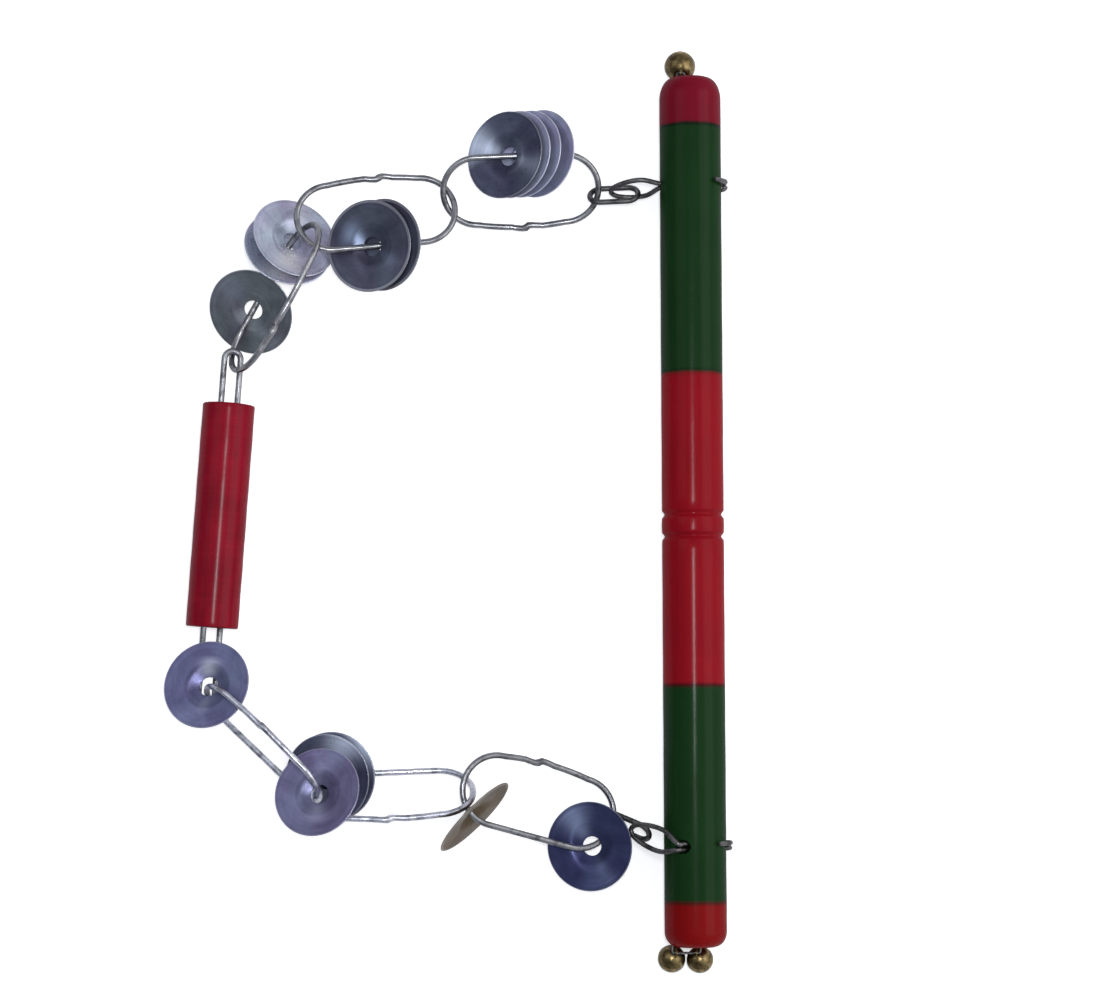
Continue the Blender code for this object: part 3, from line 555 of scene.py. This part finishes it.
def lathe(name, profile, sides, look, closed, smooth_degrees=40.0):
    """Turns (radius, height) points about Z."""
    bm = bmesh.new()
    corners = [bm.verts.new((r, 0.0, z)) for r, z in profile]
    edges = [bm.edges.new(pair) for pair in zip(corners, corners[1:])]
    if closed:
        edges.append(bm.edges.new((corners[-1], corners[0])))
    bmesh.ops.spin(bm, geom=corners + edges, cent=(0, 0, 0), axis=(0, 0, 1), angle=math.tau, steps=sides,
                   use_merge=True, use_duplicate=False)
    bmesh.ops.remove_doubles(bm, verts=bm.verts, dist=1e-7)
    return mesh_object(name, bm, look, smooth_degrees)


def smooth_path(points, per_span):
    knots = [Vector(p) for p in points]
    knots = [2 * knots[0] - knots[1]] + knots + [2 * knots[-1] - knots[-2]]
    path = []
    for a, b, c, d in zip(knots, knots[1:], knots[2:], knots[3:]):
        for step in range(per_span):
            t = step / per_span
            path.append(0.5 * (2 * b + (c - a) * t + (2 * a - 5 * b + 4 * c - d) * t * t
                               + (3 * b - a - 3 * c + d) * t ** 3))
    path.append(knots[-2])
    return path


def cut_away(target, cutter):
    """Takes the cutter's shape out of the target and removes the cutter."""
    step = target.modifiers.new("step", "BOOLEAN")
    step.operation = "DIFFERENCE"
    step.solver = "EXACT"
    step.object = cutter
    depsgraph = bpy.context.evaluated_depsgraph_get()
    mesh = bpy.data.meshes.new_from_object(target.evaluated_get(depsgraph))
    target.modifiers.clear()
    old = target.data
    target.data = mesh
    bpy.data.meshes.remove(old)
    bpy.data.objects.remove(cutter, do_unlink=True)
    target.data.set_sharp_from_angle(angle=math.radians(38.0))


# Chain wires

def loop_points(loop):
    """The centreline, and how far along which side each point lies."""
    half_run = loop.half_length - loop.half_width
    middle = Vector(loop.middle)
    twisted = loop.far_roll is not None
    far_roll = loop.far_roll if twisted else loop.roll
    bend_steps = WIDE_BEND_STEPS if loop.half_width > WIDE_BEND else NARROW_BEND_STEPS
    run_steps = TWISTED_RUN_STEPS if twisted else RUN_STEPS
    points, marks = [], []

    def placed(along, across, turn):
        return middle + frame_of(loop.heading, loop.pitch, turn) @ Vector((along, across, 0.0))

    for end in (1, -1):
        turn = far_roll if end == 1 else loop.roll
        for k in range(bend_steps + 1):
            a = math.radians(end * (-90.0 + 180.0 * k / bend_steps))
            along = end * (half_run + loop.half_width * math.cos(a))
            points.append(placed(along, loop.half_width * math.sin(a), turn))
            marks.append(None)
        for k in range(1, run_steps):
            along = end * half_run * (1.0 - 2.0 * k / run_steps)
            bow = LINK_BOW * (1.0 - (along / half_run) ** 2) if end == loop.bowed_side else 0.0
            share = ((along + half_run) / (2.0 * half_run) - TWIST_START) / TWIST_SPAN
            turn = loop.roll + (far_roll - loop.roll) * min(max(share, 0.0), 1.0)
            points.append(placed(along, end * (loop.half_width + bow), turn))
            marks.append((end, along))
    return points, marks


# The two lower links wear the lighter copy of the steel wire, a painted highlight
WIRE_LOOKS = {"shackle_top": DARK_STEEL, "shackle_bottom": DARK_STEEL, "bottom_link_2": PAINTED_HIGHLIGHT_STEEL,
              "bottom_link_3": PAINTED_HIGHLIGHT_STEEL}


def make_wire(name, loop):
    """One link or shackle: slightly uneven wire, with a swollen, stepped weld on a link's bowed side."""
    points, marks = loop_points(loop)
    seed = sum(ord(letter) for letter in name)
    turned = frame_of(loop.heading, loop.pitch, loop.roll)
    radii = []
    for k, mark in enumerate(marks):
        ripple = 0.010 * math.sin(k * 0.7 + seed) + 0.006 * math.sin(k * 1.9 + seed * 0.3)
        radius = loop.wire / 2.0 * (1.0 + ripple if loop.bowed_side else EYE_WIRE_SHARE)
        if mark is not None and mark[0] == loop.bowed_side and abs(mark[1] - loop.weld) < WELD_REACH:
            gap = (mark[1] - loop.weld) / WELD_HALF_WIDTH
            radius *= 1.0 + WELD_SWELL * math.exp(-gap * gap)
            step = WELD_STEP * math.tanh(gap * 1.6) * math.exp(-(gap / 4.0) ** 2)
            points[k] = points[k] + turned.col[1] * step
        radii.append(radius)
    piece = tube("fine_" + name, points, radii, WIRE_LOOKS.get(name, STEEL), True)
    settle(piece, name, name)


def make_grip_wire():
    points = loop_points(GRIP_WIRE)[0]
    piece = tube("fine_grip_wire", points, [GRIP_WIRE.wire / 2.0] * len(points), STEEL, True)
    settle(piece, "grip_wire", "grip_wire")


for loop_name, loop in LOOPS.items():
    make_wire(loop_name, loop)
make_grip_wire()


# Staples

class Staple(NamedTuple):
    """A wire bent double through the rod: its place along it, its hole's ends, and how its eye points."""
    place: float
    entry_degrees: float
    exit_degrees: float
    length: float
    heading: float
    pitch: float
    roll: float
    lift: float


STAPLES = {
    "staple_top": Staple(0.1425, 180.0, 0.0, 0.0215, 185.5, -13.0, -52.0, 0.0005),
    "staple_bottom": Staple(-0.1465, 118.0, 2.0, 0.0242, 160.0, -31.0, -15.0, 0.0022),
}


def on_rod(place, degrees, radius):
    a = math.radians(degrees)
    return Vector((radius * math.cos(a), place, ROD_RADIUS + radius * math.sin(a)))


def staple_hole(staple):
    """Where the cross hole starts and ends, and its direction towards the eye."""
    entry = on_rod(staple.place, staple.entry_degrees, ROD_RADIUS)
    leave = on_rod(staple.place, staple.exit_degrees, ROD_RADIUS)
    return entry, leave, (entry - leave).normalized()


def staple_leg(staple, side):
    """One leg from its clinched end through the hole and along the eye, and the eye's tip."""
    entry, leave, bore = staple_hole(staple)
    start = entry + bore * staple.lift
    turned = frame_of(staple.heading, staple.pitch, staple.roll)
    along, across = turned.col[0], turned.col[1]
    offset = across * side * STAPLE_LEG_SPACING / 2.0
    spread = across * side * EYE_HALF_WIDTH
    rise = 1.0 if offset.z >= 0.0 else -1.0
    round_radius = ROD_RADIUS + STAPLE_WIRE / 2.0 + CLINCH_GAP
    leg = []
    for share, lift in ((1.0, 0.0), (0.62, 0.0), (0.34, CLINCH_LIFT)):
        degrees = staple.exit_degrees + rise * CLINCH_DEGREES * share
        leg.append(on_rod(staple.place, degrees, round_radius + lift) + Vector((0.0, offset.y, 0.0)))
    leg.append(leave + offset * 0.9 - bore * STAPLE_WIRE * 0.6)
    leg.append(leave + offset + bore * STAPLE_WIRE * 0.9)
    leg.append(entry + offset - bore * STAPLE_WIRE * 0.9)
    leg.append(start + offset * 1.05)
    for share, width in ((0.30, 1.0), (0.62, 1.0), (0.90, 0.60)):
        leg.append(start + along * staple.length * share + spread * width)
    return leg, start + along * staple.length


def make_staple(name, staple):
    """The whole staple, with its two ends filed thin."""
    one, tip = staple_leg(staple, 1)
    other = staple_leg(staple, -1)[0]
    path = smooth_path(one + [tip] + list(reversed(other)), 7)
    radii = []
    for k in range(len(path)):
        from_end = min(k, len(path) - 1 - k)
        radii.append(STAPLE_WIRE / 2.0 * min(EYE_WIRE_SHARE, 0.72 + 0.07 * from_end))
    settle(tube("fine_" + name, path, radii, DARK_STEEL, False), "root", name)


for staple_name, staple in STAPLES.items():
    make_staple(staple_name, staple)


# Rod

def end_round(end, length_of_round):
    """A quarter turn from an end's flat face to the rod's side."""
    points = []
    for k in range(13):
        a = k / 12.0 * math.pi / 2.0
        radius = ROD_END_FLAT_RADIUS + (ROD_RADIUS - ROD_END_FLAT_RADIUS) * math.sin(a)
        points.append((radius, end * (ROD_LENGTH / 2.0 - length_of_round * (1.0 - math.cos(a)))))
    return points


def turned_side(start, stop, ripples):
    """The long side between two places, uneven by a few hundredths of a millimetre."""
    return [(ROD_RADIUS + ROD_UNEVEN * math.sin(y * ripples), y) for y in np.linspace(start, stop, 40)[1:-1]]


def groove(centre):
    points = []
    for k in range(13):
        t = -1.0 + k / 6.0
        depth = GROOVE_DEPTH * (0.5 + 0.5 * math.cos(math.pi * t)) ** 0.8
        points.append((ROD_RADIUS - depth, centre + GROOVE_WIDTH * t))
    return points


def bead_between_grooves():
    points = []
    for k in range(1, 8):
        share = k / 8.0
        y = GROOVE_PLACE + (GROOVE_SPACING / 2.0 - GROOVE_WIDTH) * (2.0 * share - 1.0)
        points.append((ROD_RADIUS + BEAD_RISE * math.sin(share * math.pi), y))
    return points


def rod_profile():
    """Radius and place along the rod, from its bottom end to its top end."""
    half = ROD_LENGTH / 2.0
    lower, upper = GROOVE_PLACE - GROOVE_SPACING / 2.0, GROOVE_PLACE + GROOVE_SPACING / 2.0
    points = [(0.0, -half)] + end_round(-1, BOTTOM_END_ROUND)
    points += turned_side(-ROD_SIDE_END, lower - GROOVE_WIDTH * 1.3, 210.0)
    points += groove(lower) + bead_between_grooves() + groove(upper)
    points += turned_side(upper + GROOVE_WIDTH * 1.3, ROD_SIDE_END, 190.0)
    return points + list(reversed(end_round(1, TOP_END_ROUND))) + [(0.0, half)]


rod = lathe("fine_rod", rod_profile(), 96, PAINT, False, 50.0)
rod.data.transform(Matrix.Translation((0.0, 0.0, ROD_RADIUS)) @ Matrix.Rotation(-math.pi / 2.0, 4, "X"))


def drill(place, along, depth, radius, segments):
    """A round cutter, centred at a place."""
    bm = bmesh.new()
    bmesh.ops.create_cone(bm, cap_ends=True, segments=segments, radius1=radius, radius2=radius, depth=depth)
    bm.transform(Matrix.Translation(place) @ UP.rotation_difference(along).to_matrix().to_4x4())
    return mesh_object("cutter", bm, PAINT)


# Bells, on their pins

class Bell(NamedTuple):
    """A bell's radius, its place across the rod, its reach past the rod's end, and its pin's place."""
    radius: float
    x: float
    reach: float
    pin_x: float
    end: int


BELLS = {
    "bell_top": Bell(0.0068, -0.0040, 0.0068 + SEAT_GAP, -0.0040, 1),
    "bell_bottom_left": Bell(0.0060, -0.0102, 0.0058, -0.0085, -1),
    "bell_bottom_right": Bell(0.0058, 0.0021, 0.0058 + 0.0005, 0.0004, -1),
}
BELL_PINS = {
    "bell_pin_top": (1, ["bell_top"]),
    "bell_pin_bottom": (-1, ["bell_bottom_left", "bell_bottom_right"]),
}


def bell_places(bell):
    """The bell's middle, how far its loop hangs from it, and the pin that the loop hangs on."""
    middle = Vector((bell.x, bell.end * (ROD_LENGTH / 2.0 + bell.reach), bell.radius + SEAT_GAP))
    hang = bell.radius + BELL_LOOP_RADIUS - BELL_LOOP_WIRE * 0.55
    pin_y = bell.end * (ROD_LENGTH / 2.0 + BELL_PIN_REACH)
    level = Vector((bell.pin_x - bell.x, pin_y - middle.y)).length
    return middle, hang, Vector((bell.pin_x, pin_y, middle.z + math.sqrt(hang ** 2 - level ** 2)))


def bell_profile(radius):
    """A thin shell with a fine seam round its middle, open at the bottom pole."""
    low = math.radians(-84.0)
    high = math.radians(90.0)
    inner = radius - BELL_WALL
    outside = []
    for a in np.linspace(low, high, 34):
        ridge = radius + BELL_SEAM * math.exp(-(a / 0.07) ** 2)
        outside.append((ridge * math.cos(a), ridge * math.sin(a)))
    inside = [(inner * math.cos(a), inner * math.sin(a)) for a in np.linspace(high, low, 18)]
    outside[-1] = (0.0, radius)
    inside[0] = (0.0, inner)
    return outside + inside


def slit_cutter(radius):
    bar = bmesh.new()
    bmesh.ops.create_cube(bar, size=1.0)
    size = Matrix.Diagonal((BELL_SLIT, radius * 1.7, radius * 1.2, 1.0))
    bar.transform(Matrix.Translation((0.0, 0.0, -radius * 0.75)) @ size)
    return mesh_object("cutter", bar, BRASS)


def make_pellet(name, radius, middle):
    """A cast ball, a little lumpy, that lies in its bell."""
    pellet = bmesh.new()
    bmesh.ops.create_icosphere(pellet, subdivisions=4, radius=PELLET_RADIUS * 0.985)
    for vert in pellet.verts:
        vert.co *= 1.0 - 0.02 * abs(math.sin(vert.co.x * 3100.0) * math.cos(vert.co.y * 2700.0))
    ball = mesh_object("fine_" + name, pellet, PELLET, 180.0)
    ball.location = middle - UP * (radius - BELL_WALL - PELLET_RADIUS - PELLET_GAP)
    bpy.context.view_layer.update()
    settle(ball, name, name)


def make_bell(name, bell):
    """The slit shell and its wire loop, turned towards the pin."""
    middle, hang, pin = bell_places(bell)
    toward = (pin - middle).normalized()
    sideways = Vector((1.0, 0.0, 0.0)) - toward * toward.x
    sideways.normalize()
    turned = Matrix((sideways, toward.cross(sideways), toward)).transposed().to_4x4()
    shell = lathe("fine_" + name, bell_profile(bell.radius), 48, BRASS, True, 50.0)
    cut_away(shell, slit_cutter(bell.radius))
    ring = [Vector((0.0, BELL_LOOP_RADIUS * math.cos(a), hang + BELL_LOOP_RADIUS * math.sin(a)))
            for a in (math.tau * k / 32 for k in range(32))]
    loop = tube("fine_loop_of_" + name, ring, [BELL_LOOP_WIRE / 2.0] * 32, BRASS, True, 10)
    for piece in (shell, loop):
        piece.data.transform(turned)
        piece.location = middle
        bpy.context.view_layer.update()
    settle(shell, name, name)
    settle(loop, name, None)
    make_pellet(name.replace("bell", "pellet"), bell.radius, middle)


def make_bell_pin(name, end, group):
    """A wire staple in the rod's end that holds the bells of its group, and its two drilled holes."""
    pins = [bell_places(BELLS[bell_name])[2] for bell_name in group]
    room = BELL_LOOP_WIRE / 2.0 + BELL_PIN_WIRE / 2.0 + BELL_SIDE_ROOM
    slope = 0.0
    if len(pins) > 1:
        slope = (pins[1].z - pins[0].z) / (pins[1].x - pins[0].x)
    legs = [(pins[0].x - room, pins[0].z - slope * room), (pins[-1].x + room, pins[-1].z + slope * room)]
    deep = end * (ROD_LENGTH / 2.0 - BELL_PIN_DEPTH)
    face = end * (ROD_LENGTH / 2.0 + BELL_PIN_REACH * 0.45)
    out = end * (ROD_LENGTH / 2.0 + BELL_PIN_REACH)
    path = []
    for (x, height), inward in zip(legs, (1, -1)):
        half = [(x, deep, height), (x, face, height),
                (x + inward * BELL_PIN_WIRE * 0.3, out - end * BELL_PIN_WIRE * 0.35, height),
                (x + inward * BELL_PIN_WIRE, out, height)]
        path += half if inward == 1 else reversed(half)
    fine = smooth_path(path, 6)
    piece = tube("fine_" + name, fine, [BELL_PIN_WIRE / 2.0] * len(fine), DARK_STEEL, False, 12)
    settle(piece, "root", name)
    depth = 2.0 * (BELL_PIN_DEPTH + SEAT_GAP)
    for x, height in legs:
        mouth = Vector((x, end * ROD_LENGTH / 2.0, height))
        cut_away(rod, drill(mouth, Vector((0, 1, 0)), depth, BELL_PIN_HOLE_RADIUS, 24))


for bell_name, bell in BELLS.items():
    make_bell(bell_name, bell)
for pin_name, (end, group) in BELL_PINS.items():
    make_bell_pin(pin_name, end, group)
for staple in STAPLES.values():
    entry, leave, bore = staple_hole(staple)
    depth = (entry - leave).length * 1.6
    cut_away(rod, drill((entry + leave) / 2.0, bore, depth, STAPLE_HOLE_RADIUS, 40))
settle(rod, "root", "rod")


# Discs

# Each disc's look, and the way that its painted highlight faces in the plan view, in degrees
DISC_TINTS = {
    "disc_top_1a": ("glint", 160.0), "disc_top_1b": ("blue_painted_light", 20.0), "disc_top_1c": ("blue_painted_light", 0.0),
    "disc_top_1d": ("blue_painted_light", 340.0), "disc_top_2a": ("slate", 150.0), "disc_top_2b": ("slate", 20.0),
    "disc_top_3a": ("silver", 250.0), "disc_top_3b": ("silver", 250.0), "disc_top_3c": ("green_grey", 120.0),
    "disc_bottom_3a": ("lilac", 88.0), "disc_bottom_3b": ("violet", 276.0), "disc_bottom_2a": ("glint", 58.0),
    "disc_bottom_2b": ("glint", 40.0), "disc_bottom_1a": ("brassy", 50.0), "disc_bottom_1b": ("navy", 122.0),
}


def disc_frame(cad_node):
    """Centre, hollow-side axis and radius of a CAD disc, from its vertices."""
    points = np.array([tuple(v.co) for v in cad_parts[cad_node].data.vertices])
    centre = points.mean(0)
    offsets = points - centre
    far = np.linalg.norm(offsets, axis=1)
    rim = offsets[far > far.max() * 0.93]
    rim_middle = rim.mean(0)
    vectors = np.linalg.eigh(np.cov((rim - rim_middle).T))[1]
    axis = vectors[:, 0]
    near = offsets[far < far.max() * 0.40]
    if (rim_middle - near.mean(0)) @ axis < 0:
        axis = -axis
    middle = centre + rim_middle
    radius = np.sqrt(np.sort(((rim - rim_middle) ** 2).sum(1))[-len(rim) // 3:].mean())
    return Vector(middle), Vector(axis), radius


def disc_profile(radius):
    """The dished sheet: a drawn neck round the hole, a bowl, a flat flange and a rolled rim."""
    half = DISC_SHEET / 2.0
    line = [(DISC_HOLE_RADIUS, -DISC_BOWL_DEPTH), (DISC_HOLE_RADIUS + 0.0009, -DISC_BOWL_DEPTH + 0.00045),
            (0.0066, -0.0023), (0.0080, -0.00160), (DISC_BOWL_RADIUS, -DISC_FLANGE_DROP), (0.0112, -0.00078),
            (0.0135, -0.00056), (0.0160, -0.00032), (radius - 0.0010, -0.00006), (radius - 0.00025, 0.0)]
    top = [(r, z + half) for r, z in line]
    under = [(r, z - half) for r, z in line]
    edge = [(radius - 0.00008, half * 0.7), (radius, 0.0), (radius - 0.00008, -half * 0.7)]
    mouth = [(DISC_HOLE_RADIUS - 0.00012, -DISC_BOWL_DEPTH)]
    return list(reversed(top)) + mouth + under + list(reversed(edge))


def warp(disc, count):
    """Bends the flange a little, each disc in its own way."""
    for vert in disc.data.vertices:
        a = math.atan2(vert.co.y, vert.co.x)
        share = max(math.hypot(vert.co.x, vert.co.y) - 0.006, 0.0) / 0.0135
        vert.co.z += DISC_WARP * share * math.sin(2.0 * a + count * 1.3)
        vert.co.z += DISC_RIPPLE * share * math.sin(5.0 * a + count)


def make_disc(name, tint, facing, count):
    middle, axis, radius = disc_frame(name)
    disc = lathe("fine_" + name, disc_profile(radius), 96, DISC_LOOKS[tint], True, 32.0)
    warp(disc, count)
    sheen_way = direction(facing, 0.0)
    sheen_way = (sheen_way - axis * sheen_way.dot(axis)).normalized()
    turned = Matrix((sheen_way, axis.cross(sheen_way), axis)).transposed().to_4x4()
    disc.matrix_world = Matrix.Translation(middle) @ turned
    bpy.context.view_layer.update()
    settle(disc, name, name)


for count, (disc_name, (tint, facing)) in enumerate(DISC_TINTS.items()):
    make_disc(disc_name, tint, facing, count)


# Grip tube

def grip_end(end):
    """From the bore's chamfer to the outside, at one end of the tube."""
    half = GRIP_LENGTH / 2.0
    points = [(GRIP_BORE_RADIUS, end * (half - GRIP_CHAMFER)), (GRIP_BORE_RADIUS + GRIP_CHAMFER, end * half)]
    for k in range(5):
        a = k / 4.0 * math.pi / 2.0
        radius = GRIP_OUTER_RADIUS - GRIP_EDGE_ROUND * (1.0 - math.sin(a))
        points.append((radius, end * (half - GRIP_EDGE_ROUND * (1.0 - math.cos(a)))))
    return points


def grip_profile():
    half = GRIP_LENGTH / 2.0
    points = grip_end(-1)
    for z in np.linspace(-half + 0.001, half - 0.001, 60)[1:-1]:
        points.append((GRIP_OUTER_RADIUS + 0.00004 * math.sin(z * 330.0) - 0.00003, z))
    return points + list(reversed(grip_end(1)))


def make_grip():
    grip = lathe("fine_grip", grip_profile(), 80, GRIP_RED, True, 50.0)
    along = direction(GRIP_WIRE.heading, GRIP_WIRE.pitch)
    middle = Vector(GRIP_WIRE.middle) - along * GRIP_SLIDE
    grip.matrix_world = Matrix.Translation(middle) @ UP.rotation_difference(along).to_matrix().to_4x4()
    bpy.context.view_layer.update()
    settle(grip, "grip", "grip")


make_grip()


# Studio

def floor_material():
    """Pale paper, lit up a little for the camera alone so that it reads as white."""
    made, tree, shader = new_material("floor")
    shader.inputs["Base Color"].default_value = grey(0.86)
    shader.inputs["Roughness"].default_value = 0.9
    shader.inputs["Specular IOR Level"].default_value = 0.1
    path = tree.nodes.new("ShaderNodeLightPath")
    shader.inputs["Emission Color"].default_value = (1.0, 1.0, 1.0, 1.0)
    glow = maths(tree, "MULTIPLY", path.outputs["Is Camera Ray"], FLOOR_GLOW)
    tree.links.new(glow, shader.inputs["Emission Strength"])
    return made


floor_bm = bmesh.new()
bmesh.ops.create_grid(floor_bm, x_segments=8, y_segments=8, size=FLOOR_HALF_SIZE)
floor = mesh_object("floor", floor_bm, floor_material())
floor.location = (-0.1, 0.0, -FLOOR_DROP)


def make_world():
    """Soft light that grows from left to right, and white where the camera sees past the floor."""
    world = bpy.data.worlds.new("studio")
    bpy.context.scene.world = world
    world.use_nodes = True
    tree = world.node_tree
    backdrop = tree.nodes["Background"]
    split = tree.nodes.new("ShaderNodeSeparateXYZ")
    tree.links.new(tree.nodes.new("ShaderNodeTexCoord").outputs["Generated"], split.inputs["Vector"])
    side = maths(tree, "MULTIPLY_ADD", split.outputs["X"], 0.5, 0.5)
    left, middle, right = rgb(0.20, 0.21, 0.24), rgb(0.36, 0.375, 0.42), rgb(0.84, 0.84, 0.86)
    sky = ramp(tree, side, [(0.0, left), (0.45, middle), (1.0, right)])
    seen = tree.nodes.new("ShaderNodeLightPath").outputs["Is Camera Ray"]
    tree.links.new(mix(tree, seen, sky, grey(1.0)), backdrop.inputs["Color"])
    backdrop.inputs["Strength"].default_value = 1.0


make_world()


def area_light(name, place, size_x, size_y, power, colour):
    """A lamp that looks at the part, with its long side along the rod."""
    data = bpy.data.lights.new(name, "AREA")
    data.shape = "RECTANGLE"
    data.size = size_x
    data.size_y = size_y
    data.energy = power
    data.color = colour
    lamp = bpy.data.objects.new(name, data)
    bpy.context.scene.collection.objects.link(lamp)
    back = (Vector(place) - Vector(LAMP_TARGET)).normalized()
    side = Vector((0.0, 1.0, 0.0)).cross(back).normalized()
    turned = Matrix((side, back.cross(side), back)).transposed().to_4x4()
    lamp.matrix_world = Matrix.Translation(place) @ turned


area_light("flash", (-0.03, 0.0, 1.15), 0.10, 0.22, 4.4, (0.94, 0.97, 1.0))
area_light("window", (0.95, 0.15, 0.75), 0.80, 1.30, 5.0, (1.0, 1.0, 1.0))
area_light("fill", (-0.9, 0.5, 1.0), 0.9, 0.9, 2.2, (0.90, 0.94, 1.0))

# Camera
camera_data = bpy.data.cameras.new("camera")
camera_data.sensor_fit = "HORIZONTAL"
camera_data.sensor_width = SENSOR_WIDTH
camera_data.lens = FOCAL_LENGTH_PIXELS / PHOTO_WIDTH_PIXELS * SENSOR_WIDTH
camera_data.clip_start = 0.01
camera = bpy.data.objects.new("camera", camera_data)
bpy.context.scene.collection.objects.link(camera)
back = Vector((0.0, -math.cos(ELEVATION), math.sin(ELEVATION)))
up = Vector((0.0, math.sin(ELEVATION), math.cos(ELEVATION)))
right = Vector((1.0, 0.0, 0.0))
placed = Matrix((right, up, back)).transposed().to_4x4()
placed.translation = TARGET + back * DISTANCE
camera.matrix_world = Matrix.Rotation(-ROLL, 4, "Z") @ placed
bpy.context.scene.camera = camera
bpy.context.scene.view_settings.view_transform = "Standard"
